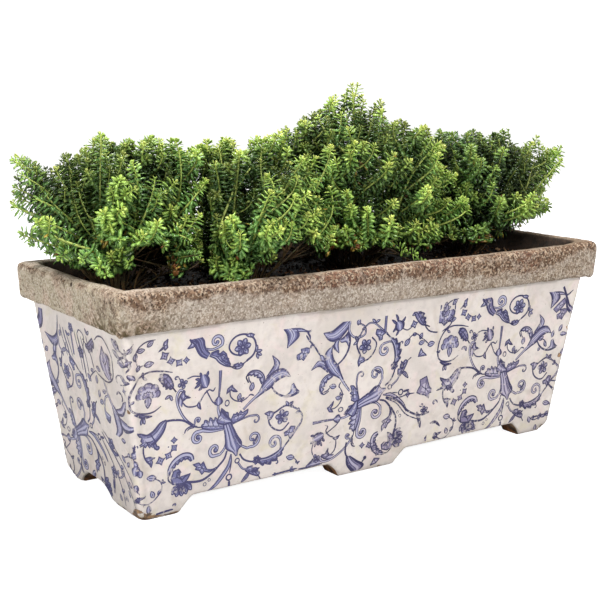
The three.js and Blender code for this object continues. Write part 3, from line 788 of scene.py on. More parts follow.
def core(sh):
    """The motifs that spring from the sheet's hub."""
    # trunk calyx under the hub
    body(sh, q((640, 626), (653, 672), (662, 722), (668, 770), (692, 790), (712, 800), (738, 832)),
         q((694, 620), (714, 658), (740, 706), (770, 750), (768, 776), (752, 790), (744, 832)),
         (MID, LIGHT, MID, LIGHT, MID, MID, DARK), 2.0, 0.8, 2)
    # blade leaf over the hub, and the serrated one to its right
    jag(sh, q((700, 614), (650, 622), (606, 608), (596, 592), (608, 566), (618, 556), (622, 518), (650, 545), (668, 552), (672, 580)), MID, 2.4, 0.7)
    body(sh, q((630, 522), (655, 560), (690, 606)), q((600, 600), (640, 615), (690, 612)), (DARK, MID, LIGHT, MID), 2.9, 0.4)
    jag(sh, q((690, 622), (694, 590), (706, 566), (718, 572), (728, 560), (738, 574), (752, 554), (764, 568), (802, 552), (798, 576), (770, 600), (730, 616)), MID, 2.2, 0.55)
    # leaf lying to the left of the hub
    acanthus(sh, q((648, 630), (600, 622), (540, 612), (480, 608), (452, 600)), 2.6, 6.2, 6, (MID, LIGHT, LIGHT, MID), 1.6, 0.55, flip=True)
    scroll(sh, q((474, 566))[0], 2.4, 200, 0.75, -1, 1.5, 1.3, q((452, 602), (450, 582)))
    scroll(sh, q((478, 672))[0], 4.3, 110, 0.95, 1, 2.3, 1.9, q((648, 648), (560, 646), (505, 632)))
    line(sh, q((470, 600), (425, 595), (398, 608), (390, 630)), 0.7)
    line(sh, q((450, 604), (420, 606), (405, 618)), 0.5)
    # spear above the hub
    stem(sh, q((612, 560), (600, 520), (600, 490)), 1.9, 1.3)
    body(sh, q((600, 498), (574, 482), (580, 462), (600, 440)), q((600, 498), (626, 482), (620, 462), (600, 440)), (DARK, MID, LIGHT, MID, DARK), 2.2, 0.6)
    p = curve(q((600, 450), (603, 380), (602, 288)))
    ribbon(sh, p, np.linspace(1.0, 1.9, len(p)), DARK, 2)
    ribbon(sh, p, np.linspace(0.3, 1.0, len(p)), MID, 2.4)
    # curls on each side of the trunk
    scroll(sh, q((594, 764))[0], 4.6, 250, 0.8, -1, 2.2, 1.9, q((668, 722), (655, 770), (628, 800)))
    scroll(sh, q((850, 742))[0], 5.8, 250, 1.0, 1, 1.9, 1.3, q((716, 700), (760, 764), (812, 796)))
    jag(sh, q((872, 735), (882, 720), (874, 750), (868, 765), (856, 780), (850, 770), (862, 752)), MID, 2.4, 0.4)
    # loose tendril to the right
    scroll(sh, q((858, 628))[0], 3.4, 100, 0.8, -1, 1.2, 0.6, q((702, 628), (750, 612), (810, 596)))


def right_arm(sh):
    stem(sh, q((768, 550), (800, 522), (846, 486), (880, 462)), 1.3, 1.9)
    # tulip
    body(sh, q((846, 492), (878, 440), (902, 395), (935, 366), (985, 340), (1040, 345), (1082, 396)),
         q((850, 494), (900, 466), (946, 444), (976, 416), (1010, 398), (1050, 388), (1082, 396)),
         (DARK, MID, LIGHT, LIGHT, MID, DARK), 1.6, 0.8, 1)
    body(sh, q((912, 372), (934, 346), (962, 300), (944, 246)), q((948, 362), (985, 340), (998, 300), (944, 246)),
         (DARK, MID, LIGHT, LIGHT, MID), 1.4, 0.6, 1)
    # leaf curling back over it
    acanthus(sh, q((892, 415), (888, 372), (856, 338), (806, 330), (776, 352), (792, 390)), 1.2, 3.4, 6, (LIGHT, LIGHT, MID), 1.4, 0.6, flip=False)
    # lower branch with a trumpet leaf
    stem(sh, q((950, 434), (985, 478), (1040, 510), (1100, 516), (1150, 500)), 0.9, 1.5)
    body(sh, q((1158, 500), (1130, 478), (1108, 440)), q((1060, 508), (1090, 488), (1092, 452), (1108, 440)), (DARK, MID, LIGHT, MID), 1.8, 0.55)
    # hanging leaf, and a spray of buds over the hub
    single_leaf(sh, q((818, 418))[0], 2.9, 80, 0.6)
    line(sh, q((812, 396), (796, 376), (790, 352)), 0.6)
    line(sh, q((798, 472), (812, 464), (836, 474)), 0.7)
    jag(sh, q((674, 412), (650, 436), (656, 406), (684, 388), (690, 402), (722, 434), (694, 428)), MID, 2.2, 0.5)
    line(sh, q((672, 410), (676, 452), (712, 486), (760, 494), (800, 474)), 0.6)
    single_leaf(sh, q((736, 466))[0], 2.4, 75, 0.6)
    leaf_pair(sh, q((748, 482))[0], 2.6, -30, 40)
    ring(sh, q((657, 492))[0], 1.5, 0.7, ry=1.9)


def left_arm(sh):
    # hooked stem with a split bud
    stem(sh, q((452, 598), (398, 552), (362, 502), (336, 440), (334, 395), (352, 368), (378, 382)), 1.3, 1.6)
    body(sh, q((340, 440), (350, 400), (372, 372)), q((366, 470), (372, 420), (384, 378)), (MID, LIGHT, MID), 1.8, 0.5)
    jag(sh, q((352, 400), (372, 372), (384, 404), (418, 422), (392, 420), (370, 436)), MID, 2.6, 0.6)
    line(sh, q((368, 440), (392, 468), (430, 478), (466, 474)), 0.7)
    jag(sh, q((462, 470), (476, 450), (482, 478), (488, 502), (468, 488)), MID, 2.2, 0.45)
    # bell flower, its stalk from the spear, and the little flower beyond
    line(sh, q((482, 456), (500, 420), (536, 392), (560, 404), (574, 384)), 0.7)
    line(sh, q((516, 392), (536, 428), (566, 474), (590, 486)), 0.6)
    body(sh, q((478, 300), (470, 340), (490, 374), (520, 376)), q((500, 296), (528, 320), (532, 350), (520, 376)), (DARK, MID, LIGHT, MID, DARK), 2.0, 0.7)
    for a, b in (((478, 306), (470, 284)), ((516, 310), (522, 280)), ((474, 330), (442, 318)), ((478, 350), (440, 372)), ((488, 372), (468, 388)), ((478, 340), (448, 345))):
        blade(sh, q(a, ((a[0] + b[0]) / 2 + 2, (a[1] + b[1]) / 2 - 3), b), 1.5, (MID, DARK), 2.2, 0.4, 0.4, False)
    line(sh, q((474, 306), (430, 298), (390, 308)), 0.6)
    petals(sh, q((364, 332))[0], 3.4, 4, 20, 2.0, 0.7)
    scroll(sh, q((324, 298))[0], 1.8, 20, 0.7, 1, 0.8, 0.5, q((352, 312), (342, 300)))


def lily(sh):
    # long stalk to the lily on the left
    line(sh, q((440, 592), (382, 552), (322, 538), (272, 536)), 1.1, taper=False)
    body(sh, q((272, 528), (236, 540), (192, 582), (150, 598), (98, 576)), q((276, 538), (262, 588), (240, 622), (212, 652), (196, 668)),
         (DARK, MID, MID, LIGHT, LIGHT, MID, DARK), 1.6, 0.8, 2)
    jag(sh, q((150, 596), (98, 576), (112, 600), (126, 606), (118, 622), (130, 640), (78, 662), (134, 654), (150, 670), (160, 652), (176, 676), (190, 650), (196, 660), (208, 690), (222, 682), (206, 640), (180, 600)), MID, 1.5, 0.55)
    disc(sh, q((224, 686))[0], 1.6, DARK, 2.4)
    disc(sh, q((222, 684))[0], 0.7, MID, 2.6)
    # thin stem under it, leaf cluster and a chain of drops
    line(sh, q((136, 662), (138, 704), (156, 748), (190, 784)), 0.8)
    jag(sh, q((150, 732), (178, 730), (212, 742), (190, 748), (196, 766), (190, 796), (176, 770), (158, 752)), MID, 2.2, 0.5)
    for (x, y), r, a in (((245, 766), 3.0, 20), ((294, 744), 2.6, 60), ((328, 704), 2.5, 40), ((326, 658), 2.2, 90)):
        diamond(sh, q((x, y))[0], r, a)
    line(sh, q((262, 758), (282, 750)), 0.4)
    line(sh, q((308, 728), (320, 714)), 0.4)
    disc(sh, q((292, 692))[0], 0.5, DARK)


def lower_left(sh):
    stem(sh, q((674, 786), (660, 832), (622, 872), (580, 908), (520, 938), (440, 934), (376, 916)), 1.0, 1.5)
    # C-shaped leaf
    acanthus(sh, q((446, 806), (430, 778), (388, 772), (336, 800), (306, 846), (300, 892), (330, 926)), 2.6, 2.4, 9, (LIGHT, LIGHT, MID), 1.4, 0.6, flip=False)
    jag(sh, q((330, 926), (318, 890), (332, 846), (362, 840), (378, 862), (356, 858), (352, 884), (390, 908), (406, 892), (440, 880), (424, 910), (400, 934), (360, 930)), MID, 2.2, 0.7, light=False)
    # drooping flower
    for a, b, w in (((372, 930), (328, 990), 3.6), ((378, 930), (356, 1008), 4.0), ((384, 930), (390, 1010), 4.2), ((390, 930), (420, 1004), 4.0), ((394, 928), (452, 984), 3.6)):
        m = ((a[0] + b[0]) / 2 + (b[0] - a[0]) * 0.1, (a[1] + b[1]) / 2 - 4)
        blade(sh, q(a, m, b), w, (DARK, MID, LIGHT, MID, DARK), 1.7, 0.5, 0.6)
    # serrated leaf
    line(sh, q((618, 874), (590, 884), (556, 884)), 0.9)
    jag(sh, q((594, 886), (550, 882), (536, 858), (522, 824), (506, 842), (492, 826), (454, 830), (480, 850), (470, 862), (498, 874), (516, 902), (530, 886), (566, 898)), MID, 2.2, 0.55)
    # blades between the stems
    p = curve(q((704, 812), (692, 880), (660, 930), (610, 986), (560, 1020)))
    t = np.linspace(0, 1, len(p))
    ribbon(sh, p, 0.7 + 2.0 * np.sin(np.pi * t) ** 0.8, DARK, 1.6)
    ribbon(sh, p, np.clip(0.1 + 1.7 * np.sin(np.pi * t) ** 0.8, 0.05, None), MID, 1.8)
    ribbon(sh, p[4:-6] + side(p)[4:-6] * 0.35, 0.45, LIGHT, 2.0)
    line(sh, q((704, 812), (708, 860), (700, 930)), 0.6)
    ring(sh, q((698, 956))[0], 2.0, 1.1)
    line(sh, q((700, 978), (704, 1024)), 1.4)
    ring(sh, q((538, 968))[0], 1.1, 0.5)
    ring(sh, q((566, 946))[0], 0.9, 0.5)


def lower_right(sh):
    ring(sh, q((748, 862))[0], 1.6, 0.9)
    stem(sh, q((756, 878), (790, 920), (832, 936), (872, 964)), 1.2, 0.9)
    acanthus(sh, q((812, 924), (850, 944), (892, 974), (922, 1016)), 2.2, 3.4, 4, (MID, LIGHT, MID), 1.8, 0.55, flip=False)
    blade(sh, q((838, 942), (822, 972), (786, 1006)), 2.4, (MID, LIGHT, MID), 1.9, 0.5)
    blade(sh, q((852, 946), (880, 950), (908, 936)), 1.6, (MID, DARK), 1.9, 0.4)
    stem(sh, q((762, 822), (792, 862), (842, 886), (872, 890)), 1.0, 0.9)
    petals(sh, q((884, 884))[0], 3.2, 6, 15, 2.2, 0.6, (DARK, MID, DARK))
    # heavy dark leaf with a volute on its back
    acanthus(sh, q((896, 890), (950, 896), (1010, 880), (1060, 846), (1104, 800)), 1.5, 4.4, 6, (DARK, MID, DARK), 1.9, 0.8, flip=True)
    ribbon(sh, curve(q((910, 892), (970, 890), (1030, 868), (1080, 824))), 0.6, LIGHT, 2.9)
    scroll(sh, q((1000, 796))[0], 5.0, 20, 1.0, 1, 1.9, 1.3, q((1040, 866), (1050, 828)))
    scroll(sh, q((1024, 930))[0], 2.0, 90, 0.5, -1, 0.9, 0.4)
    # stem up round the rosette
    stem(sh, q((1100, 806), (1148, 744), (1184, 692), (1186, 650), (1150, 610), (1108, 586)), 1.2, 0.9)
    jag(sh, q((1142, 716), (1112, 712), (1090, 736), (1066, 744), (1072, 766), (1096, 764), (1112, 788), (1130, 760)), MID, 2.0, 0.6)
    ring_pts = q((1108, 586), (1064, 572), (1000, 600), (952, 630), (958, 672), (1000, 712), (1050, 724), (1096, 684))
    stem(sh, ring_pts, 1.1, 0.8)
    petals(sh, q((1044, 640))[0], 5.4, 5, 100, 2.0, 0.66)
    leaf_pair(sh, q((1084, 576))[0], 4.2, 80, 45)
    leaf_pair(sh, q((1092, 578))[0], 3.6, 10, 30)
    jag(sh, q((986, 602), (950, 590), (918, 600), (938, 612), (944, 640), (962, 644), (976, 626)), MID, 2.2, 0.55)
    leaf_pair(sh, q((1164, 626))[0], 3.0, 150, 40)


def top_left(sh):
    # sprig in the corner
    line(sh, q((186, 56), (132, 62), (86, 92), (68, 140), (84, 194)), 0.6)
    for (x, y), r, a in (((155, 76), 2.6, 40), ((101, 108), 2.6, 10), ((68, 140), 2.6, 80), ((152, 190), 3.3, 8), ((88, 206), 2.2, 70), ((36, 100), 2.0, 60)):
        single_leaf(sh, q((x, y))[0], r, a, 0.55)
    line(sh, q((92, 200), (120, 192)), 0.6)
    # small serrated leaf and chain of drops
    jag(sh, q((262, 62), (238, 78), (232, 104), (206, 128), (240, 112), (246, 124), (262, 110), (258, 90)), MID, 2.2, 0.5)
    for (x, y), r, a in (((245, 156), 3.0, 30), ((286, 190), 2.7, 10), ((336, 206), 2.7, 50), ((380, 198), 2.2, 0)):
        diamond(sh, q((x, y))[0], r, a)
    # seed head in its ring
    palmette(sh, q((154, 362))[0], 8.2)
    line(sh, q((298, 256), (230, 240), (150, 236), (96, 262), (62, 320), (54, 390), (72, 446), (130, 470), (190, 468), (236, 442)), 0.8)
    leaf_pair(sh, q((118, 262))[0], 3.4, 30, 60)
    leaf_pair(sh, q((62, 404))[0], 2.4, 100, 40)
    blade(sh, q((80, 466), (130, 488), (184, 492)), 2.0, (MID, LIGHT, DARK), 2, 0.4)
    leaf_pair(sh, q((126, 492))[0], 4.6, -88, 18)
    # leaf beside it
    acanthus(sh, q((216, 274), (252, 286), (286, 324), (326, 374)), 2.6, 4.6, 5, (MID, MID, DARK), 1.8, 0.65, flip=True)
    body(sh, q((212, 286), (240, 258), (276, 268)), q((232, 296), (262, 284), (276, 268)), (DARK, MID, MID), 2.2, 0.5)
    leaf_pair(sh, q((290, 388))[0], 4.0, -110, 40)


def top_middle(sh):
    # dark leaf head with a curl
    body(sh, q((394, 84), (420, 106), (436, 132), (466, 180), (510, 208)), q((470, 78), (486, 98), (492, 132), (512, 164), (530, 180)),
         (DARK, MID, DARK, MID, MID, DARK), 1.8, 0.9, 2)
    jag(sh, q((440, 104), (394, 80), (410, 104), (384, 134), (420, 130)), MID, 2.0, 0.5)
    scroll(sh, q((566, 116))[0], 4.6, -30, 1.0, 1, 2.2, 1.5, q((500, 148), (540, 158), (582, 148)))
    acanthus(sh, q((528, 186), (572, 204), (604, 236), (664, 274), (706, 286)), 1.4, 4.8, 5, (LIGHT, MID, DARK), 1.8, 0.6)
    jag(sh, q((606, 222), (592, 190), (612, 176), (634, 196), (642, 222), (656, 244), (630, 244)), MID, 2.1, 0.55)
    acanthus(sh, q((680, 274), (724, 282), (770, 256)), 1.5, 2.6, 3, (LIGHT, MID), 1.8, 0.5)
    # ring round the rosette
    stem(sh, q((770, 256), (814, 222), (828, 176), (810, 128), (764, 98), (706, 96), (664, 122), (650, 160), (672, 196), (716, 214), (764, 206)), 1.1, 0.8)
    petals(sh, q((740, 170))[0], 6.0, 6, 70, 2.0, 0.62)
    leaf_pair(sh, q((832, 208))[0], 4.4, 45, 40)
    leaf_pair(sh, q((836, 216))[0], 4.4, -50, 22)
    jag(sh, q((752, 98), (788, 94), (812, 104), (800, 120), (770, 112)), MID, 2.2, 0.5)


def top_right(sh):
    # cut tulip and its branch
    body(sh, q((1010, 98), (1036, 130), (1046, 172), (1044, 216)), q((1090, 100), (1112, 124), (1120, 150), (1044, 216)), (DARK, MID, LIGHT, LIGHT, MID, DARK), 1.6, 0.8, 1)
    body(sh, q((1060, 100), (1130, 108), (1190, 130), (1240, 104)), q((1096, 124), (1150, 128), (1200, 136), (1240, 104)), (DARK, MID, LIGHT, MID), 2.0, 0.5)
    stem(sh, q((1180, 136), (1206, 176), (1222, 210), (1260, 250), (1320, 276)), 1.0, 1.6)
    jag(sh, q((1210, 240), (1180, 232), (1142, 236), (1150, 256), (1114, 270), (1122, 300), (1152, 296), (1166, 308), (1186, 278), (1204, 262)), MID, 2.0, 0.55)
    body(sh, q((1226, 214), (1262, 252), (1322, 276)), q((1214, 226), (1256, 278), (1322, 276)), (MID, LIGHT, MID), 2.0, 0.5)


def bottom_left(sh):
    line(sh, q((214, 868), (250, 892), (262, 926), (250, 962), (214, 1000), (176, 1016), (118, 990)), 0.6)
    single_leaf(sh, q((194, 860))[0], 3.4, 170, 0.6)
    single_leaf(sh, q((205, 962))[0], 2.6, 110, 0.6)
    single_leaf(sh, q((250, 954))[0], 2.2, 50, 0.5)
    leaf_pair(sh, q((262, 902))[0], 2.4, 40, 40)
    jag(sh, q((112, 1006), (94, 970), (104, 958), (128, 966), (164, 962), (140, 976), (120, 984)), MID, 2.2, 0.5)
    single_leaf(sh, q((186, 1050))[0], 3.0, 95, 0.55, True)
    line(sh, q((184, 1020), (186, 1034)), 0.5)
    line(sh, q((218, 1092), (280, 1084), (340, 1080)), 1.1)
    scroll(sh, q((350, 1058))[0], 1.6, 190, 0.6, -1, 0.9, 0.5)


def edge_right(sh):
    single_leaf(sh, q((1124, 914))[0], 3.4, 165, 0.55)
    line(sh, q((1150, 922), (1172, 946), (1184, 972)), 0.6)
    leaf_pair(sh, q((1178, 962))[0], 2.2, 80, 50)
    line(sh, q((1000, 1004), (1060, 1002), (1180, 996)), 1.0)
    leaf_pair(sh, q((1130, 1002))[0], 3.4, 20, 40)
    leaf_pair(sh, q((1030, 1010))[0], 2.6, 170, 40)


MIDDLE = (core, right_arm, left_arm, lower_left, lower_right)
ALL = MIDDLE + (lily, top_left, top_middle, top_right, bottom_left, edge_right)


def sheet(at, turn, parts=ALL):
    sh = Sheet()
    sh.turn, sh.at = math.radians(turn), at
    for f in parts:
        f(sh)
    return sh.shapes


def corner_sprigs(sh):
    """The climbing sprig that fills the sheet's edge at the corner; its own units are the wall's mm."""
    line(sh, [(-186, 118), (-190, 112), (-187, 104), (-190, 98), (-189, 88), (-193, 80), (-190, 70), (-184, 63)], 0.7)
    for x, z, r, a in ((-191, 113, 2.4, 80), (-189, 106, 2.8, 30), (-186, 97, 2.6, -40), (-192, 95, 2.4, 130), (-190, 90, 2.4, 60),
                       (-193, 84, 2.6, 100), (-189, 78, 2.4, 40), (-194, 73, 2.6, 120), (-190, 68, 3.0, -60), (-186, 64, 2.8, -30)):
        single_leaf(sh, (x, z), r, a, 0.5, True)
    line(sh, [(-192, 60), (-187, 55), (-184, 50), (-182, 44), (-178, 36)], 0.8)
    for x, z, r, a in ((-189, 57, 2.4, -20), (-184, 52, 2.6, -70), (-186, 47, 2.6, 160), (-181, 41, 2.8, -60), (-184, 37, 2.8, -110), (-178, 34, 2.6, -80)):
        single_leaf(sh, (x, z), r, a, 0.5, True)
    blade(sh, [(-192, 24), (-187, 21), (-183, 16)], 2.6, (DARK, MID, DARK), 2, 0.5)


def second_extras(sh):
    """What the cut of the second sheet shows beside its own hub, in the wall's mm."""
    # tulip under the top cut, with a hanging leaf and a curled stem
    body(sh, [(-28, 116), (-36, 111), (-41, 108), (-48, 107.5)], [(-26, 112), (-30, 106), (-37, 101), (-43, 102), (-48, 107.5)], (DARK, MID, LIGHT, LIGHT, MID, DARK), 1.6, 0.8, 1)
    body(sh, [(-31, 105), (-35, 100), (-34, 92)], [(-37, 102), (-39, 97), (-34, 92)], (MID, LIGHT, DARK), 1.6, 0.5)
    stem(sh, [(-27, 113), (-27, 107), (-23, 102), (-17, 101), (-13, 103), (-14, 108), (-19, 111)], 1.6, 0.9)
    single_leaf(sh, (-19.5, 112), 2.4, 80)
    # stubs under the cut
    leaf_pair(sh, (-5, 110), 4.0, 80, 60)
    ribbon(sh, curve([(3.8, 116), (4.0, 102)]), 1.8, DARK, 2)
    ribbon(sh, curve([(3.8, 116), (4.0, 102)]), 0.9, MID, 2.4)
    # bell flower
    body(sh, [(13, 108), (13, 103), (17, 101)], [(15, 109), (20, 107), (20, 103), (17, 101)], (DARK, MID, LIGHT, MID, DARK), 2.0, 0.6)
    for a, b in (((15, 108), (12, 114)), ((18, 107), (21, 111)), ((13, 104), (11, 101)), ((16, 102), (14, 98)), ((14, 106), (9, 110))):
        blade(sh, [a, ((a[0] + b[0]) / 2 + 0.4, (a[1] + b[1]) / 2), b], 1.5, (MID, DARK), 2.2, 0.4, 0.4, False)
    line(sh, [(19, 103), (24, 101), (28, 103)], 0.6)
    diamond(sh, (29.5, 104.5), 3.0, 20)
    # dark leaf and the seed head in its ring
    acanthus(sh, [(29, 116), (33, 110), (38, 104), (44, 101)], 2.4, 4.8, 5, (MID, MID, DARK), 1.8, 0.65)
    leaf_pair(sh, (31, 113), 4.6, 175, 30)
    line(sh, [(-62, 108), (-59, 104), (-55, 100), (-52, 96), (-49, 92)], 0.9)
    single_leaf(sh, (-47.5, 90), 3.0, -60, 0.5, True)
    leaf_pair(sh, (-57, 101), 2.6, -60, 40)
    line(sh, [(38, 104), (44, 98), (52, 96), (58, 97), (64, 101)], 0.8)
    # sprig below
    line(sh, [(25, 92), (28, 96), (33, 97), (37, 94), (40, 92), (45, 88)], 0.6)
    for x, z, r, a in ((25, 92, 3.2, 50), (37, 95, 2.4, 70), (38, 90, 2.6, 10), (47, 88, 3.2, 10), (31, 97, 2.0, 0)):
        single_leaf(sh, (x, z), r, a)
    jag(sh, [(38, 86), (36, 80), (44, 80), (40, 83)], MID, 2.2, 0.5)
    # serrated leaf at the right, with stalks
    line(sh, [(12, 53), (24, 52), (29, 53), (36, 53)], 0.7)
    diamond(sh, (30, 53), 2.4, 0)
    jag(sh, [(38, 53), (41, 58), (40, 62), (46, 64), (48, 59), (50, 55), (56, 51), (50, 51), (50, 47), (46, 50), (42, 51)], MID, 2.0, 0.6)
    line(sh, [(10, 54), (22, 49), (32, 40), (44, 35), (52, 36)], 1.2, taper=False)
    line(sh, [(10, 53), (20, 48), (30, 38), (42, 32)], 0.6)
    petals(sh, (47, 38), 3.6, 5, 30, 2.0, 0.6)
    blade(sh, [(40, 38), (43, 32), (45, 25)], 2.6, (DARK, MID, DARK), 1.8, 0.5)
    scroll(sh, (44, 43), 2.0, 200, 0.7, 1, 0.9, 0.6)
    # foot of the sheet
    line(sh, [(-21, 26), (-21, 18), (-18, 13)], 1.1)
    body(sh, [(-20, 15), (-19, 9), (-14, 3), (-10, 1)], [(-17, 15), (-10, 10), (-4, 6), (-8, 2)], (DARK, MID, LIGHT, MID, DARK), 1.8, 0.7, 2)
    disc(sh, (-3.5, 11), 1.5, DARK)
    line(sh, [(-6, 8), (-4, 10)], 0.9)
    for (x, z), r, a in (((-7, 21), 2.2, 0), ((-1, 20), 2.6, 20), ((4, 17), 2.8, 50), ((7, 13), 2.4, 80)):
        diamond(sh, (x, z), r, a)
    jag(sh, [(2, 4), (5, 9), (10, 8), (7, 5)], MID, 2.2, 0.5)
    # leaf over the left arch
    body(sh, [(-54, 14), (-48, 18), (-42, 17)], [(-54, 14), (-48, 13), (-42, 14)], (DARK, MID, LIGHT, MID), 1.8, 0.6)
    line(sh, [(-60, 13.5), (-50, 13.2), (-40, 14)], 0.9)
    body(sh, [(50, 16), (56, 20), (62, 17)], [(50, 14), (56, 13), (62, 14)], (DARK, MID, MID), 1.8, 0.6)


def third_extras(sh):
    """Round the third sheet's hub, in the wall's mm."""
    # broken palmette at the top left of the sheet, a curled tail and leaves
    line(sh, [(66, 116), (66, 108), (63, 100), (56, 96)], 0.8)
    palmette(sh, (57.5, 108.5), 8.4, 180)
    line(sh, [(175, 117), (180, 108), (182, 100), (186, 95)], 1.6, taper=False)
    jag(sh, [(178, 108), (172, 104), (167, 100), (171, 97), (176, 100), (180, 104)], MID, 2.0, 0.5)
    for x, z, r, a in ((170, 80, 2.8, 80), (158, 78, 2.6, 30), (163, 73, 2.6, -60), (157, 70, 2.0, 60), (178, 84, 3.0, 60), (181, 79, 2.8, 0), (183, 65, 3.6, 60)):
        single_leaf(sh, (x, z), r, a, 0.55, True)
    line(sh, [(157, 78), (162, 76), (165, 71)], 0.6)
    line(sh, [(174, 42), (180, 41), (186, 44)], 0.8)
    line(sh, [(171, 41), (178, 34), (181, 26), (181, 18)], 1.2)
    for x, z, r, a in ((157, 12, 2.8, -70), (168, 13, 2.8, 70), (172, 13, 2.4, 20), (165, 4, 2.8, 95), (177, 9, 2.0, 120)):
        single_leaf(sh, (x, z), r, a, 0.55, True)
    line(sh, [(157, 14), (162, 11), (170, 13)], 0.6)
    leaf_pair(sh, (94, 16), 5.4, 180, 14)
    leaf_pair(sh, (95, 16), 5.4, 0, 14)
    leaf_pair(sh, (58, 15), 5.0, 10, 16)
    scroll(sh, (56, 42), 3.0, 0, 0.6, 1, 1.2, 0.8)
    blade(sh, [(54, 27), (59, 27), (64, 23)], 1.6, (MID, DARK), 2, 0.5)


def side_extras(sh):
    """The end wall's own motifs round the turned sheet; across the wall and up it, in mm."""
    # seed head in its ring, and a sprig beside it
    body(sh, [(33.6, 110.6), (31.0, 105.6), (28.6, 101.6), (29.4, 96.8), (33.0, 92.4), (37.8, 89.6)],
         [(34.4, 110.6), (36.0, 107.2), (41.4, 106.0), (43.4, 103.4), (41.6, 96.6), (41.8, 90.6)], (MID, LIGHT, MID, LIGHT, MID, DARK), 1.8, 0.6, 2)
    line(sh, [(32, 101), (35.5, 99), (38.5, 102.5)], 0.6)
    line(sh, [(24, 112.5), (30, 116), (37, 116.3), (42.6, 112), (46.5, 106.5), (46.5, 100), (44, 92), (36, 88), (24, 90), (20, 92)], 0.8)
    # sprig that climbs beside the corner
    body(sh, [(50.5, 118.6), (52.5, 114.6), (56.5, 112.4), (60.0, 112.4)], [(50.8, 118.8), (56.5, 118.8), (59.4, 116.0), (60.4, 112.8)], (MID, MID, DARK, DARK), 1.8, 0.7)
    line(sh, [(60, 112.8), (64, 112.4), (66.2, 111.6), (64.2, 109.6), (59, 108.4)], 1.0)
    blade(sh, [(50, 111.6), (54.5, 109.6), (59.4, 107.6)], 3.2, (MID, LIGHT, DARK), 1.8, 0.5)
    blade(sh, [(65.2, 104.4), (60.5, 105.4), (55, 104.6)], 5.2, (MID, MID, LIGHT, DARK), 1.8, 0.5)
    line(sh, [(65.2, 104.6), (67.6, 102.6), (67.4, 99), (66.2, 96)], 0.8)
    blade(sh, [(67, 99.4), (66.6, 97.2), (65.2, 95)], 1.6, (DARK, DARK), 1.9, 0.5, vein=False)
    blade(sh, [(64.8, 93.6), (60.6, 94.6), (56, 97)], 3.4, (MID, LIGHT, DARK), 1.8, 0.5)
    line(sh, [(57, 96.6), (52.6, 96), (49.2, 93.4), (50.6, 90.6)], 0.6)
    line(sh, [(64, 93), (60, 91.4), (54.6, 90.4)], 0.5)
    diamond(sh, (59.4, 87.8), 2.7, 20)
    line(sh, [(46.6, 82.6), (50, 84.8), (53.6, 84.2), (55, 81.8), (53.4, 79.4)], 1.1)
    leaf_pair(sh, (40, 94), 3.2, 60, 50)
    line(sh, [(20, 92), (16, 90), (10, 86), (7, 82)], 0.6)
    for x, z, r, a in ((19, 86, 2.8, 80), (8, 85, 3.0, -50), (28, 80, 2.6, 10), (20, 77, 2.8, 70), (22, 72, 3.0, 20), (14, 91, 2.2, 20), (24, 94, 2.8, -20)):
        single_leaf(sh, (x, z), r, a, 0.55)
    # dark leaf and bell flower under the rim
    acanthus(sh, [(22, 112), (17, 108), (12, 106), (6, 110)], 2.2, 4.6, 5, (MID, MID, DARK), 1.8, 0.65)
    leaf_pair(sh, (14, 114), 4.4, 80, 40)
    petals(sh, (0, 100), 4.6, 5, 20, 2.0, 0.7)
    line(sh, [(4, 103), (8, 112), (2, 115), (-2, 112)], 0.6)
    petals(sh, (-11, 114), 3.6, 5, 50, 2.0, 0.7)
    p = curve([(-12, 112), (-12, 96)])
    ribbon(sh, p, 1.5, DARK, 2)
    ribbon(sh, p, 0.7, MID, 2.4)
    leaf_pair(sh, (-18, 108), 4.0, 80, 60)
    # long folds of a cut leaf between them
    for k, (a, b, w) in enumerate(((-29, 93, 0.7), (-24.5, 90, 1.2), (-20, 94, 0.6), (-6, 88, 0.6), (-2, 84, 1.1), (3, 88, 0.6), (12, 92, 0.7))):
        line(sh, [(a, 113 - (k % 3)), (a + 1.2, 106), (a + 4.0, 99), (a + 5.6, b)], w)
    # cut tulip at the back with its curled stem
    body(sh, [(-31, 119), (-35, 108), (-44, 102), (-57, 103)], [(-36, 108), (-38, 98), (-46, 96), (-57, 103)], (DARK, MID, LIGHT, MID, DARK), 1.6, 0.8, 1)
    body(sh, [(-44, 98), (-47, 93), (-46, 86)], [(-40, 99), (-42, 93), (-46, 86)], (MID, LIGHT, DARK), 1.6, 0.5)
    stem(sh, [(-35, 104), (-35, 97), (-30, 95), (-25, 97), (-24, 102)], 1.5, 0.9)
    for x, z, r, a in ((-31, 107, 2.4, 70), (-58, 91, 2.8, 30), (-64, 94, 3.2, 60), (-48, 70, 2.4, 20)):
        single_leaf(sh, (x, z), r, a)
    body(sh, [(-56, 119), (-58, 110), (-64, 104), (-68, 102)], [(-62, 119), (-64, 112), (-68, 108), (-69, 104)], (DARK, MID, MID, DARK), 1.6, 0.7)
    # tulip near the front corner
    stem(sh, [(29, 89), (34, 78), (40, 71)], 1.5, 2.2)
    body(sh, [(39, 74), (46, 69), (49, 60), (42, 54)], [(37, 72), (39, 64), (40, 58), (37, 54)], (DARK, MID, LIGHT, LIGHT, MID, DARK), 1.7, 0.8, 1)
    body(sh, [(43, 72), (51, 75), (55, 79), (60, 81)], [(42, 69), (52, 70), (57, 75), (60, 81)], (MID, LIGHT, DARK), 1.6, 0.6)
    body(sh, [(44, 66), (52, 60), (58, 61), (64, 65)], [(43, 69), (50, 67), (56, 66), (64, 65)], (DARK, LIGHT, MID), 1.6, 0.6)
    stem(sh, [(34, 79), (28, 76), (25, 68), (26, 62)], 1.2, 1.6)
    body(sh, [(25, 62), (30, 60), (33, 65)], [(25, 67), (28, 66), (33, 65)], (DARK, MID, LIGHT), 1.8, 0.6)
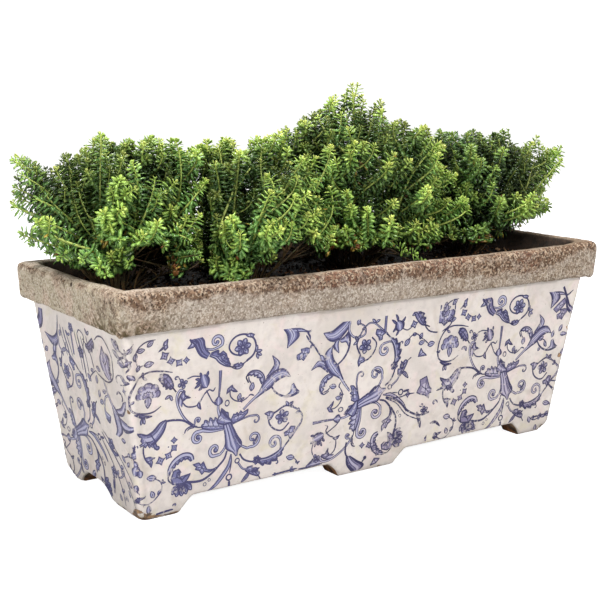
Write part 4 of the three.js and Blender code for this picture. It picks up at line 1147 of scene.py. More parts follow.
    # sprig under it
    line(sh, [(66, 60), (60, 53), (57, 45), (52, 44), (44, 41)], 0.7)
    for x, z, r, a in ((48, 53, 3.0, 0), (59, 47, 3.4, 60), (62, 38, 3.6, -30), (57, 36, 3.8, 70), (44, 40, 3.0, -40), (53, 45, 2.4, 20)):
        single_leaf(sh, (x, z), r, a, 0.5, True)
    # flower and stalks at the lower front
    petals(sh, (27, 45), 4.6, 5, 60, 2.0, 0.7)
    blade(sh, [(36, 40), (31, 40), (24, 42)], 2.6, (MID, LIGHT, DARK), 2, 0.5)
    petals(sh, (25, 26), 4.2, 5, 10, 2.0, 0.7)
    scroll(sh, (38, 30), 3.4, 20, 0.7, -1, 1.4, 0.9, [(26, 26), (32, 24), (37, 26)])
    blade(sh, [(24, 24), (22, 17), (21, 10)], 2.6, (DARK, MID, DARK), 1.8, 0.5)
    blade(sh, [(68, 24), (60, 19), (50, 13)], 3.2, (DARK, MID, DARK), 1.8, 0.5)
    scroll(sh, (40, 11), 3.0, 200, 0.5, -1, 1.4, 0.9)
    leaf_pair(sh, (10, 13), 4.6, 80, 30)
    # long stalks down to the front foot, with narrow leaves
    for pts, w in (([(14, 50), (30, 38), (44, 24), (52, 9)], 0.9), ([(16, 52), (34, 42), (49, 30), (59, 16)], 0.6), ([(12, 46), (24, 33), (33, 19), (36, 6)], 0.7)):
        line(sh, pts, w)
    for x, z, r, a in ((39, 33, 2.6, 10), (48, 24, 2.8, -30), (31, 27, 2.4, 60), (35, 16, 2.6, 20), (55, 24, 2.6, 70), (50, 38, 2.6, 40), (30, 10, 2.4, 120), (45, 17, 2.4, -70)):
        single_leaf(sh, (x, z), r, a, 0.5, True)


# ---------------------------------------------------------------- the print on the walls
CORNER_R = 5.4


def arch_line(s, spans):
    """The lowest height that the print reaches at s, over the arches between the feet."""
    z = np.full(np.shape(s), 2.4)
    t = np.linspace(0, 1, 9)
    k = t * t * (3 - 2 * t)
    rise = 11.5 * (0.25 * t + 0.75 * np.sin(t * np.pi / 2))
    for a, b, ra, rb in spans:
        xs = np.concatenate([a + ra * (0.35 * t + 0.65 * k), (b - rb * (0.35 * t + 0.65 * k))[::-1]])
        zs = np.concatenate([rise, rise[::-1]]) + 0.9
        z = np.where((s > a) & (s < b), np.maximum(z, np.interp(s, xs, zs)), z)
    return z


def on_wall(face, s, z):
    """Points of the unrolled wall in the trough's own mm, and the wall's outward direction there."""
    hx, hy = wall_hx(z), wall_hy(z)
    along, depth = (hx, hy) if face in ("front", "back") else (hy, hx)
    flat = along - CORNER_R
    ang = np.minimum(np.clip(np.abs(s) - flat, 0, None) / CORNER_R, np.pi / 2)
    a = np.sign(s) * (np.minimum(np.abs(s), flat) + CORNER_R * np.sin(ang))
    d = depth - CORNER_R * (1 - np.cos(ang))
    na, nd = np.sign(s) * np.sin(ang), np.cos(ang)
    zero = np.zeros_like(a)
    if face == "front":
        return np.stack([a, -d, z], -1), np.stack([na, -nd, zero], -1)
    if face == "back":
        return np.stack([-a, d, z], -1), np.stack([-na, nd, zero], -1)
    if face == "left":
        return np.stack([-d, -a, z], -1), np.stack([-nd, -na, zero], -1)
    return np.stack([d, a, z], -1), np.stack([nd, na, zero], -1)


def own(draw):
    sh = Sheet()
    draw(sh)
    return sh.shapes


def print_finish():
    t = Tree("blue_print_under_glaze", 0.4, 0.4)
    ink = t.attr("ink").outputs["Fac"]
    uneven = t.math("MULTIPLY", t.math("SUBTRACT", t.noise(210, 4), 0.5), 0.85)
    tone = t.math("ADD", ink, uneven, True)
    tint = t.ramp(t.noise(9, 2), 0.4, 0.65)
    light = t.mix(tint, lin(172, 171, 196), lin(182, 174, 190))
    mid = t.mix(tint, lin(112, 112, 152), lin(126, 117, 145))
    dark = t.mix(tint, lin(68, 66, 106), lin(80, 72, 93))
    c = t.mix(t.ramp(tone, 0.05, 0.5), light, mid)
    c = t.mix(t.ramp(tone, 0.5, 0.95), c, dark)
    c = t.mix(t.ramp(ink, 1.0, 1.5, 0, 0.85), c, lin(44, 42, 84))
    # thin and speckled where the transfer took badly
    thin = t.ramp(t.math("ADD", t.noise(420, 3), t.math("MULTIPLY", t.noise(24, 3), 0.7)), 0.92, 1.06, 0, 0.6)
    c = t.mix(thin, c, glaze_colour(t))
    return t.done(c, None, glaze_bump(t))


def print_on(face, layout, spans, shell, bvh, wear, finish):
    P, N, ink, lift, UV, F = [], [], [], [], [], []
    count = 0
    reach = 0.93 if face in ("front", "back") else 0.90
    half = 206.0 if face in ("front", "back") else 76.0
    for shapes, (lo, hi, top) in layout:
        for g, tone, layer in shapes:
            rows, cols = g.shape[:2]
            flat = g.reshape(-1, 2).copy()
            z = np.clip(flat[:, 1], 0, top)
            along = wall_hx(z) if face in ("front", "back") else wall_hy(z)
            limit = along - CORNER_R + CORNER_R * reach
            s = np.clip(flat[:, 0], np.maximum(lo, -limit), np.minimum(hi, limit))
            z = np.maximum(z, arch_line(s, spans))
            p, n = on_wall(face, s, z)
            idx = np.arange(rows * cols).reshape(rows, cols)
            quads = np.stack([idx[:-1, :-1], idx[:-1, 1:], idx[1:, 1:], idx[1:, :-1]], -1).reshape(-1, 4)
            sz = np.stack([s, z], -1)
            q4 = sz[quads]
            d1, d2 = q4[:, 2] - q4[:, 0], q4[:, 3] - q4[:, 1]
            area = 0.5 * (d1[:, 0] * d2[:, 1] - d1[:, 1] * d2[:, 0])
            keep = np.abs(area) > 4e-3
            quads, area = quads[keep], area[keep]
            if not len(quads):
                continue
            quads = np.where((area < 0)[:, None], quads[:, ::-1], quads)
            P.append(p)
            N.append(n)
            ink.append((0.0, 0.5, 1.0)[tone] * (1 + 0.5 * step(-90, 20, p[:, 0])) ** (tone > 1))
            lift.append(np.full(len(p), 0.05 + 0.028 * layer))
            UV.append(np.stack([0.01 + 0.98 * (s + half) / (2 * half), (tone + 0.02 + 0.96 * z / 124) / 3], -1))
            F.append(quads + count)
            count += len(p)
    P, N, ink, lift, UV, F = (np.concatenate(v) for v in (P, N, ink, lift, UV, F))
    hit_at = np.zeros_like(P)
    good = np.zeros(len(P), bool)
    worn = np.zeros(len(P))
    for i in range(len(P)):
        n = Vector(N[i])
        at, normal, face_i, dist = bvh.ray_cast(Vector(P[i] * MM) + n * 0.008, -n, 0.014)
        if at is not None and normal.dot(n) > 0.3:
            hit_at[i] = np.array(at) * 1000 + np.array(normal) * lift[i]
            good[i] = True
            worn[i] = wear[face_i]
    ok = good[F].all(1) & (worn[F].mean(1) < 0.42)
    F = F[ok]
    used = np.unique(F)
    new = -np.ones(len(P), int)
    new[used] = np.arange(len(used))
    me = bpy.data.meshes.new("print_" + face)
    me.from_pydata((hit_at[used] * MM).tolist(), [], new[F].tolist())
    me.update()
    uv = me.uv_layers.new(name="OFBake")
    loops = np.empty(len(me.loops), np.int32)
    me.loops.foreach_get("vertex_index", loops)
    uv.data.foreach_set("uv", UV[used][loops].astype(np.float32).ravel())
    put_attr(me, "ink", ink[used])
    shade_smooth(me)
    o = link("print_" + face, me)
    me.materials.append(finish)
    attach(o, "trough")
    return o


def all_prints(shell):
    me = shell.data
    verts = coords(me)
    polys = [list(f.vertices) for f in me.polygons]
    bvh = BVHTree.FromPolygons(verts.tolist(), polys)
    w = np.empty(len(me.vertices), np.float32)
    me.attributes["wear"].data.foreach_get("value", w)
    wear = np.array([w[f].mean() for f in polys])
    finish = print_finish()
    first, third = sheet((-118, 56), 0), sheet((122, 56), 0)
    long_side = [
        (first, (-230, -58, 119)), (own(corner_sprigs), (-230, -58, 119)),
        (sheet((-14, 52), 90, MIDDLE), (-66, 52, 113.5)), (own(second_extras), (-62, 52, 113.5)),
        (third, (52, 230, 119)), (own(third_extras), (52, 230, 119)),
    ]
    short_side = [(sheet((-28, 39), 94, MIDDLE), (-90, 90, 119)), (own(side_extras), (-90, 90, 119))]
    long_spans = [(-149, -24, 9, 10), (24, 149, 10, 9)]
    for face, layout, spans in (
        ("front", long_side, long_spans),
        ("back", long_side, long_spans),
        ("left", short_side, [(-36, 17, 15, 15)]),
        ("right", short_side, [(-17, 36, 15, 15)]),
    ):
        print_on(face, layout, spans, shell, bvh, wear, finish)


all_prints(shell)


def curve3(points, gap):
    """An even polyline through points in space, gently rounded."""
    p = np.asarray(points, float)
    for _ in range(2):
        a, b = p[:-1] * 0.75 + p[1:] * 0.25, p[:-1] * 0.25 + p[1:] * 0.75
        p = np.vstack([p[:1], np.stack([a, b], 1).reshape(-1, 3), p[-1:]])
    d = np.concatenate([[0], np.cumsum(np.linalg.norm(np.diff(p, axis=0), axis=1))])
    s = np.linspace(0, d[-1], max(4, int(d[-1] / gap) + 1))
    return np.stack([np.interp(s, d, p[:, k]) for k in range(3)], -1)


# ---------------------------------------------------------------- compost, root balls and crocks
def soil_finish(name, base, spots):
    t = Tree(name, 0.92, 0.25)
    c = t.mix(t.ramp(t.noise(90, 6), 0.38, 0.66), lin(*base[0]), lin(*base[1]))
    c = t.mix(t.ramp(t.voronoi(420, out="Distance"), 0.12, 0.42, 0.7, 0), c, lin(*base[2]))
    c = t.mix(t.ramp(t.noise(520, 3), 0.62, 0.74, 0, 0.7), c, lin(*spots))
    below = t.mix(t.ramp(t.noise(70, 5), 0.38, 0.62), lin(62, 46, 34), lin(36, 27, 20))
    below = t.mix(t.ramp(t.noise(150, 4, distort=0.8), 0.42, 0.32, 0, 0.85), below, lin(13, 10, 8))
    below = t.mix(t.ramp(t.noise(270, 3, distort=0.5), 0.60, 0.68, 0, 0.85), below, lin(116, 84, 58))
    c = t.mix(t.math("MULTIPLY", t.attr("side").outputs["Fac"], 0.9), c, below)
    h = t.math("ADD", t.noise(480, 5, 0.7), t.math("MULTIPLY", t.noise(130, 4), 1.2))
    return t.done(c, t.ramp(t.noise(200, 3), 0.3, 0.7, 0.82, 0.98), t.bump(h, 0.0011, 1.0))


def rough_copy(node, voxel, name, body, finish, move):
    """A fine-meshed copy of a CAD node whose surface is worked by `move(points, normals)` in mm."""
    me = remeshed(node, voxel)
    me.name = name
    p = relax(coords(me) * 1000, edges(me), 1, 0.5)
    set_coords(me, p * MM)
    set_coords(me, move(p, normals(me)) * MM)
    shade_smooth(me)
    o = link(name, me)
    me.materials.append(finish)
    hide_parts(node)
    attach(o, body)
    return o


compost_finish = soil_finish("moist_compost", ((24, 18, 14), (10, 8, 7), (40, 30, 22)), (74, 54, 38))
ball_finish = soil_finish("root_ball_soil", ((40, 29, 20), (20, 14, 10), (62, 46, 32)), (112, 88, 60))


def compost_surface(p, n):
    top = step(0.35, 0.8, n[:, 2]) * step(SOIL_Z - 4, SOIL_Z - 1.5, p[:, 2])
    side_in = -0.75 + 0.75 * fbm(p, 7, 3, 71) - 0.9 * step(0.30, 0.12, cells(p, 6.0, 75)[0])
    edge = np.minimum(186 - np.abs(p[:, 0]), 63 - np.abs(p[:, 1]))
    lumps = fbm(p, 16, 2, 72) * 1.0 + fbm(p, 5.5, 3, 73) * 1.25 - 0.5 + step(9, 1, edge) * (0.9 * fbm(p, 18, 2, 74) - 0.6)
    out = p + n * (np.minimum(side_in, 0) * (1 - top))[:, None]
    out[:, 2] += lumps * top
    return out


def ball_surface(p, n):
    top = step(0.4, 0.85, n[:, 2]) * step(SOIL_Z - 4, SOIL_Z - 1.5, p[:, 2])
    out = p + n * ((-0.75 + 0.6 * fbm(p, 5, 3, 81)) * (1 - top))[:, None]
    out[:, 2] += (fbm(p, 7, 3, 82) * 1.3 - 0.3) * top
    return out


fill = rough_copy("compost", 1.95, "compost_fill_worked", "compost_fill", compost_finish, compost_surface)
put_attr(fill.data, "side", step(SOIL_Z - 3, SOIL_Z - 9, coords(fill.data)[:, 2] * 1000))
for i in range(4):
    rough_copy(f"plant_{i + 1}_rootball", 1.5, f"rootball_{i + 1}", f"plant_{i + 1}", ball_finish, ball_surface)


def crock_finish():
    t = Tree("broken_terracotta", 0.88, 0.3)
    c = t.mix(t.ramp(t.noise(45, 5), 0.35, 0.68), lin(176, 98, 62), lin(150, 78, 50))
    c = t.mix(t.ramp(t.noise(160, 4), 0.55, 0.75, 0, 0.6), c, lin(202, 140, 104))
    c = t.mix(t.ramp(t.noise(70, 4, distort=0.8), 0.62, 0.74, 0, 0.7), c, lin(214, 204, 190))
    c = t.mix(t.ramp(t.noise(600, 2), 0.64, 0.72, 0, 0.7), c, lin(92, 52, 36))
    return t.done(c, t.ramp(t.noise(90, 3), 0.3, 0.7, 0.78, 0.95), t.bump(t.noise(500, 5, 0.7), 0.0006, 0.8))


terracotta = crock_finish()
for k, name in enumerate(("crock_left", "crock_middle", "crock_right")):
    def broken(p, n, k=k):
        side_face = step(0.75, 0.35, np.abs(n[:, 2])) * step(0.9, 0.3, np.abs(n[:, 0]) * 0 + np.abs(n[:, 2]))
        return p + n * (-0.12 + 0.10 * fbm(p, 4, 3, 90 + k) - side_face * (0.35 + 0.35 * fbm(p, 2.6, 3, 95 + k)))[:, None]
    rough_copy(name, 0.9, name + "_shard", "trough", terracotta, broken)


# ---------------------------------------------------------------- crumbs, bark and grit lying on the compost
def joined(name, V, F, body, finish, attrs=(), uv=None, smooth=True):
    me = bpy.data.meshes.new(name)
    me.vertices.add(len(V))
    me.vertices.foreach_set("co", np.ascontiguousarray(V * MM, np.float32).ravel())
    k = F.shape[1]
    me.loops.add(F.size)
    me.loops.foreach_set("vertex_index", np.ascontiguousarray(F, np.int32).ravel())
    me.polygons.add(len(F))
    me.polygons.foreach_set("loop_start", np.arange(0, F.size, k, dtype=np.int32))
    me.update(calc_edges=True)
    me.polygons.foreach_set("use_smooth", np.full(len(F), smooth))
    for key, values in attrs:
        put_attr(me, key, values)
    if uv is not None:
        layer = me.uv_layers.new(name="OFBake")
        layer.data.foreach_set("uv", np.ascontiguousarray(uv[F.ravel()], np.float32).ravel())
    o = link(name, me)
    me.materials.append(finish)
    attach(o, body)
    return o


def icosa():
    g = (1 + 5**0.5) / 2
    v = np.array([(-1, g, 0), (1, g, 0), (-1, -g, 0), (1, -g, 0), (0, -1, g), (0, 1, g), (0, -1, -g), (0, 1, -g), (g, 0, -1), (g, 0, 1), (-g, 0, -1), (-g, 0, 1)], float)
    f = np.array([(0, 11, 5), (0, 5, 1), (0, 1, 7), (0, 7, 10), (0, 10, 11), (1, 5, 9), (5, 11, 4), (11, 10, 2), (10, 7, 6), (7, 1, 8),
                  (3, 9, 4), (3, 4, 2), (3, 2, 6), (3, 6, 8), (3, 8, 9), (4, 9, 5), (2, 4, 11), (6, 2, 10), (8, 6, 7), (9, 8, 1)])
    return v / np.linalg.norm(v[0]), f


def crumb_finish():
    t = Tree("crumbs_and_bark", 0.93, 0.2)
    kind = t.attr("kind").outputs["Fac"]
    c = t.mix(t.ramp(t.noise(600, 3), 0.35, 0.65), lin(30, 22, 16), lin(16, 12, 9))
    c = t.mix(t.ramp(kind, 0.50, 0.62), c, t.mix(t.noise(400, 3), lin(58, 38, 24), lin(96, 64, 40)))
    c = t.mix(t.ramp(kind, 0.90, 0.93), c, t.mix(t.noise(400, 3), lin(150, 128, 100), lin(120, 84, 56)))
    return t.done(c, None, t.bump(t.noise(900, 4), 0.0004, 0.8))


def crumbs(name, body, spots, sizes, seed, finish):
    rng = np.random.default_rng(seed)
    base, tri = icosa()
    V, F, K = [], [], []
    for i, (at, r) in enumerate(zip(spots, sizes)):
        q = rng.normal(size=(3, 3))
        q, _ = np.linalg.qr(q)
        shape = np.array([1.0, rng.uniform(0.55, 1.0), rng.uniform(0.4, 0.8)])
        if rng.random() < 0.25:
            shape = np.array([1.7, 0.5, 0.32])
        v = base * rng.uniform(0.78, 1.15, (12, 1)) * shape * r
        V.append(v @ q.T + at)
        F.append(tri + 12 * i)
        K.append(np.full(12, rng.random()))
    return joined(name, np.concatenate(V), np.concatenate(F), body, finish, [("kind", np.concatenate(K))], smooth=False)


crumb_mat = crumb_finish()
rng = np.random.default_rng(7)
spots, sizes = [], []
while len(spots) < 2300:
    x, y = rng.uniform(-184, 184), rng.uniform(-61, 61)
    if any(abs(x - px) < 31.5 and abs(y - py) < 31.5 for px, py in PLANT_AT):
        continue
    r = rng.choice([0.5, 0.8, 1.2, 1.8, 2.6], p=[0.34, 0.32, 0.2, 0.1, 0.04])
    if min(186 - abs(x), 63.5 - abs(y)) < r + 0.6:
        continue
    spots.append((x, y, SOIL_Z - 0.2 + rng.uniform(0, 0.6) + 0.2 * r))
    sizes.append(r)
crumbs("compost_crumbs", "compost_fill", spots, sizes, 11, crumb_mat)
for i, (px, py) in enumerate(PLANT_AT):
    rng = np.random.default_rng(20 + i)
    n = 330
    at = [(px + rng.uniform(-26, 26), py + rng.uniform(-26, 26), SOIL_Z + 0.1 + rng.uniform(0, 0.7)) for _ in range(n)]
    crumbs(f"rootball_{i + 1}_crumbs", f"plant_{i + 1}", at, rng.choice([0.5, 0.8, 1.2, 1.7], n, p=[0.4, 0.32, 0.2, 0.08]), 30 + i, crumb_mat)


def tube(path, radius, sides=5, close=True):
    """A round tube along a polyline in mm: its points, faces, and how far along and round each point is."""
    p = np.asarray(path, float)
    t = np.gradient(p, axis=0)
    t /= np.linalg.norm(t, axis=1)[:, None]
    ref = np.array([0.31, 0.95, 0.05])
    a = np.cross(t, ref)
    a /= np.linalg.norm(a, axis=1)[:, None]
    b = np.cross(t, a)
    th = np.linspace(0, 2 * np.pi, sides, endpoint=False)
    r = np.broadcast_to(np.asarray(radius, float), (len(p),))
    V = p[:, None] + r[:, None, None] * (np.cos(th)[None, :, None] * a[:, None] + np.sin(th)[None, :, None] * b[:, None])
    V = V.reshape(-1, 3)
    n = len(p)
    i = np.arange(n - 1)[:, None] * sides
    j = np.arange(sides)[None]
    k = (j + 1) % sides
    q = np.stack([i + j, i + k, i + sides + k, i + sides + j], -1).reshape(-1, 4)
    F = np.concatenate([q[:, [0, 1, 2]], q[:, [0, 2, 3]]])
    V = np.vstack([V, p[:1], p[-1:]])
    c0, c1 = n * sides, n * sides + 1
    j = np.arange(sides)
    k = (j + 1) % sides
    F = np.vstack([F, np.stack([k, j, np.full(sides, c0)], -1), np.stack([(n - 1) * sides + j, (n - 1) * sides + k, np.full(sides, c1)], -1)])
    along = np.concatenate([np.repeat(np.linspace(0, 1, n), sides), [0, 1]])
    around = np.concatenate([np.tile(np.arange(sides) / sides, n), [0.5, 0.5]])
    return V, F, along, around


def root_finish():
    t = Tree("fine_roots", 0.7, 0.3)
    c = t.mix(t.ramp(t.noise(300, 3), 0.3, 0.7), lin(196, 178, 140), lin(132, 104, 70))
    return t.done(c, None, t.bump(t.noise(1500, 2), 0.0002, 0.6))


root_mat = root_finish()
for i, (px, py) in enumerate(PLANT_AT):
    rng = np.random.default_rng(50 + i)
    V, F, count = [], [], 0
    for _ in range(70):
        side_k = rng.integers(4)
        u, z = rng.uniform(-0.9, 0.9), rng.uniform(78, 132)
        du, dz = rng.normal() * 0.5, -1.0
        pts = []
        for _ in range(int(rng.integers(8, 26))):
            du = 0.8 * du + rng.normal() * 0.35
            u += du * 0.055
            z += dz * rng.uniform(1.2, 2.2)
            if z < 76 or abs(u) > 0.93:
                break
            h = 24 + (29 - 24) * (z - 74) / 62 - 0.42
            a, b = h * u, h
            x, y = [(b, a), (-b, a), (a, b), (a, -b)][side_k]
            pts.append((px + x, py + y, z))
        if len(pts) > 4:
            v, f, _, _ = tube(curve3(pts, 1.6), rng.uniform(0.18, 0.36), 4)
            V.append(v)
            F.append(f + count)
            count += len(v)
    joined(f"rootball_{i + 1}_roots", np.concatenate(V), np.concatenate(F), f"plant_{i + 1}", root_mat)


# ---------------------------------------------------------------- the shrubs
# crown outlines in mm: rings of height, centre and radii, the same as the frame's
CROWNS = [
    [(137.2, -142, 5, 24, 24), (150, -143, 10, 42, 42), (172, -154, 14, 60, 58), (200, -165, 18, 71, 66), (222, -166, 15, 66, 58), (238, -160, 12, 46, 42), (246, -155, 10, 20, 18)],
    [(137.2, -69, -11, 24, 24), (150, -72, -17, 42, 40), (172, -78, -22, 56, 52), (196, -84, -24, 62, 60), (218, -84, -20, 56, 54), (234, -80, -14, 38, 36), (242, -78, -10, 16, 16)],
    [(137.2, 36, 0, 25, 24), (150, 35, 0, 46, 44), (180, 30, 0, 72, 62), (215, 28, 2, 76, 64), (245, 26, 4, 60, 52), (262, 24, 4, 36, 32), (270, 24, 4, 14, 12)],
    [(137.2, 140, 6, 24, 24), (150, 142, 6, 42, 42), (172, 156, 8, 62, 56), (198, 166, 10, 70, 64), (220, 166, 10, 62, 56), (234, 160, 8, 42, 38), (241, 156, 6, 18, 16)],
]


def crown_ring(i, z):
    r = np.array(CROWNS[i], float)
    return [np.interp(z, r[:, 0], r[:, k]) for k in (1, 2, 3, 4)]


def parting(k, y):
    """Where the shrubs k and k + 1 meet: a winding upright surface, so that no straight look passes between them."""
    x0, m = PARTINGS[k]
    return x0 + m * y + 3.0 * np.sin(y / 4.6 + 1.9 * k)


def own_side(i, x, y, margin=0.0):
    """True where a point lies inside plant i's own share, away from the partings."""
    ok = np.ones(np.shape(x), bool)
    if i > 0:
        ok &= x > parting(i - 1, y) + margin
    if i < 3:
        ok &= x < parting(i, y) - margin
    return ok


def ragged(y, z, k):
    """A smooth value from 0 to 1 over a crown's side towards a neighbour, so that the side isn't flat."""
    return 0.5 + 0.5 * np.sin(y / 5.3 + 2.1 * k + 1.7 * np.sin(z / 9.0)) * np.sin(z / 6.1 + 1.3 * k + y / 11.0)


def pull_in(i, p, margin):
    """Moves a point along X to plant i's own side, by more or less."""
    x, y, z = p
    if i > 0:
        x = max(x, parting(i - 1, y) + margin + 3.0 * ragged(y, z, 2 * i))
    if i < 3:
        x = min(x, parting(i, y) - margin - 3.0 * ragged(y, z, 2 * i + 1))
    return np.array([x, y, z])


def bezier(p0, p1, p2, p3, n):
    t = np.linspace(0, 1, n)[:, None]
    return (1 - t) ** 3 * p0 + 3 * (1 - t) ** 2 * t * p1 + 3 * (1 - t) * t**2 * p2 + t**3 * p3


# the shrubs' joint outline on the plane y = 0, as seen from the camera's place: x, z in mm, clockwise from the left
OUTLINE = [
    (-233, 224), (-231, 227), (-228, 228), (-224, 225), (-219, 225), (-214, 221), (-204, 218), (-200, 219), (-196, 226), (-191, 227),
    (-188, 224), (-184, 229), (-180, 231), (-176, 235), (-172, 238), (-168, 236), (-163, 231), (-159, 228), (-155, 232), (-151, 233),
    (-147, 228), (-143, 233), (-137, 235), (-130, 234), (-122, 234), (-116, 233), (-113, 222), (-108, 227), (-104, 234), (-99, 234),
    (-95, 232), (-90, 226), (-86, 231), (-80, 233), (-76, 230), (-70, 226), (-67, 222), (-62, 231), (-57, 234), (-53, 231), (-48, 235),
    (-43, 234), (-38, 238), (-32, 239), (-28, 231), (-23, 241), (-18, 246), (-12, 248), (-6, 251), (-2, 250), (2, 258), (7, 263),
    (13, 256), (18, 264), (22, 270), (28, 270), (31, 265), (34, 258), (39, 250), (44, 255), (50, 258), (54, 247), (56, 237), (62, 241),
    (68, 242), (73, 241), (79, 235), (85, 234), (91, 239), (98, 238), (103, 238), (109, 232), (116, 232), (123, 232), (128, 229),
    (134, 232), (140, 235), (145, 233), (152, 227), (158, 230), (166, 232), (178, 234), (183, 223), (192, 217), (198, 221), (205, 224),
    (212, 229), (218, 222), (224, 216), (232, 217), (239, 219), (241, 210), (241, 201), (236, 197), (228, 192), (231, 186), (225, 182),
    (218, 177), (232, 175), (243, 170), (241, 164),
]
UNDERSIDE = [
    (223, 162), (207, 159), (196, 153), (180, 152), (177, 147), (166, 142), (142, 146), (123, 148), (112, 152), (101, 144), (99, 134),
    (86, 134), (71, 142), (64, 147), (45, 151), (40, 149), (28, 147), (19, 151), (8, 152), (3, 145), (-5, 146), (-9, 154), (-20, 159),
    (-31, 158), (-39, 157), (-42, 145), (-59, 146), (-63, 135), (-87, 134), (-97, 136), (-103, 153), (-110, 151), (-113, 143),
    (-122, 143), (-126, 152), (-129, 159), (-133, 165), (-145, 165), (-152, 162), (-151, 152), (-158, 149), (-170, 145), (-180, 151),
    (-203, 159), (-209, 163), (-215, 168), (-225, 172), (-229, 177), (-231, 184), (-233, 188), (-230, 192), (-231, 199), (-230, 210),
    (-228, 214), (-226, 216), (-229, 220),
]
EYE = np.array(cam.matrix_world.translation) * 1000


def on_plane(p):
    """Where points are seen from the camera's place against the plane y = 0."""
    t = (0 - EYE[1]) / (p[..., 1] - EYE[1])
    return np.stack([EYE[0] + (p[..., 0] - EYE[0]) * t, EYE[2] + (p[..., 2] - EYE[2]) * t], -1)


def within(q, ring):
    ring = np.asarray(ring, float)
    inside = np.zeros(q.shape[:-1], bool)
    for (x0, z0), (x1, z1) in zip(ring, np.roll(ring, -1, 0)):
        if z0 == z1:
            continue
        cross = (z0 > q[..., 1]) != (z1 > q[..., 1])
        inside ^= cross & (q[..., 0] < (x1 - x0) * (q[..., 1] - z0) / (z1 - z0) + x0)
    return inside


FULL = OUTLINE + UNDERSIDE
# behind the opening under the first crown the shoots hang lower
FULL_BACK = OUTLINE + [(x, min(z, 153) if -160 < x < -120 else z) for x, z in UNDERSIDE]
OPEN_BELOW = OUTLINE + [(241, 120), (-233, 120)] + UNDERSIDE[-10:]

def in_view(p):
    q = on_plane(p)
    return within(q, FULL) | (within(q, FULL_BACK) & (p[..., 1] > 6))


# tips that reach the outline, and shoots that droop over the compost: x, y, z, and whether their leaves have turned yellow
SPIRES = [
    (-226, 4, 227), (-226, -8, 224), (-213, 10, 222), (-190, 10, 225), (-187, 0, 226), (-184, -5, 231), (-171, 10, 234), (-167, 8, 237),
    (-155, 0, 231), (-145, 12, 231), (-145, -6, 233), (-131, 10, 233), (-136, -12, 233), (-115, 12, 233), (-120, -5, 233),
    (-119, -20, 228), (-109, -10, 233), (-96, 5, 233), (-97, -20, 232), (-80, 0, 232), (-91, -26, 230), (-72, -15, 231), (-60, -5, 233),
    (-59, -18, 234), (-42, 0, 233), (-33, 6, 237), (-22, 16, 237), (-26, -6, 240), (-10, 10, 244), (-11, 0, 247), (4, 14, 249),
    (6, 4, 258), (7, -2, 262), (25, 8, 264), (24, 2, 269), (36, 10, 269), (41, -4, 254), (54, 4, 257), (46, -20, 241), (71, 4, 241),
    (87, 16, 239), (86, -6, 238), (98, 8, 237), (109, 6, 237), (108, -8, 232), (128, 12, 231), (125, -10, 232), (146, 6, 234),
    (147, -12, 230), (173, 8, 231), (171, -2, 232), (192, 14, 233), (193, -6, 221), (217, 12, 222), (216, 4, 228), (237, 4, 216),
    (246, 8, 214), (239, 0, 204),
]
# shoots that stand out sideways at the two ends
SIDEWAYS = [
    (-228, 0, 222), (-229, 4, 207), (-230, -2, 195), (-229, 4, 187), (-224, 0, 177), (-214, -6, 169), (-205, -14, 164), (-222, 10, 215),
    (-220, -12, 200), (-218, -16, 188), (-210, -24, 178), (-226, -6, 214), (-224, 6, 199), (-226, 8, 222),
    (239, 6, 214), (240, 10, 206), (234, 4, 198), (227, 8, 190), (224, 2, 182), (217, 6, 177), (240, 12, 169), (236, 0, 212), (232, 12, 204),
]
DROOPING = [
    (-191, -45, 156, 0), (-173, -38, 161, 0), (-194, -42, 160, 0), (-206, -12, 163, 0), (-214, 15, 170, 0), (-200, -30, 163, 0),
    (-183, -48, 177, 0), (-166, -34, 166, 0), (-210, 0, 166, 0), (-220, 15, 177, 0), (-139, -36, 153, 1), (-131, -30, 157, 1),
    (-111, -52, 148, 0), (-109, -54, 147, 0), (-99, -52, 148, 0), (-93, -50, 151, 0), (-82, -46, 157, 0), (-68, -40, 161, 0),
    (-75, -47, 154, 0), (-127, -44, 163, 0), (-135, -47, 173, 0), (-106, -50, 152, 0), (-105, -48, 158, 0), (-151, -44, 170, 0),
    (-162, -46, 175, 0), (-22, -34, 155, 1), (-15, -30, 158, 1), (2, -42, 158, 0), (38, -44, 153, 0), (80, -34, 160, 0),
    (51, -50, 145, 0), (45, -48, 150, 0), (25, -44, 157, 0), (-36, -38, 164, 0), (-12, -40, 161, 0), (-46, -34, 168, 0),
    (12, -44, 162, 0), (-5, -42, 157, 1), (94, -34, 157, 0), (112, -38, 154, 0), (126, -38, 151, 0), (146, -28, 155, 0),
    (190, -4, 155, 1), (217, 6, 159, 0), (240, 14, 165, 0), (228, 8, 163, 0), (116, -36, 152, 1), (118, -40, 160, 0),
]
# where the stems leave each root ball
BASES = [(-156, 15), (-78, -16), (36, 12), (148, 16)]
# shoots inside the crowns where they would be thin
FILLERS = [
    (-111, -8, 211), (-112, 6, 207), (-96, 18, 209), (-93, 22, 204), (-90, 6, 206), (-65, -8, 206), (-57, 6, 204), (-49, 18, 204), (-53, 10, 209),
    (-129, 20, 164), (-136, 8, 167), (-122, 30, 162), (-133, 26, 170), (40, -8, 188), (50, 6, 188), (60, 18, 187), (56, 10, 192),
    (-119, -8, 203), (-108, 18, 201), (-156, -8, 212), (-144, 18, 211), (-159, -6, 218), (-146, 14, 217), (-99, 18, 178), (-111, -8, 181),
    (-88, 10, 182), (162, -6, 226), (180, 14, 224), (-187, -8, 199), (-176, 18, 197), (-182, 6, 202), (-63, -8, 220), (-46, 18, 218),
    (-54, 6, 216), (-96, 18, 219), (-110, -8, 221), (-136, 24, 161), (-142, 14, 163), (-128, 34, 159), (-148, 20, 166), (-140, 32, 164),
    (-132, 14, 158), (-145, 26, 160),
]


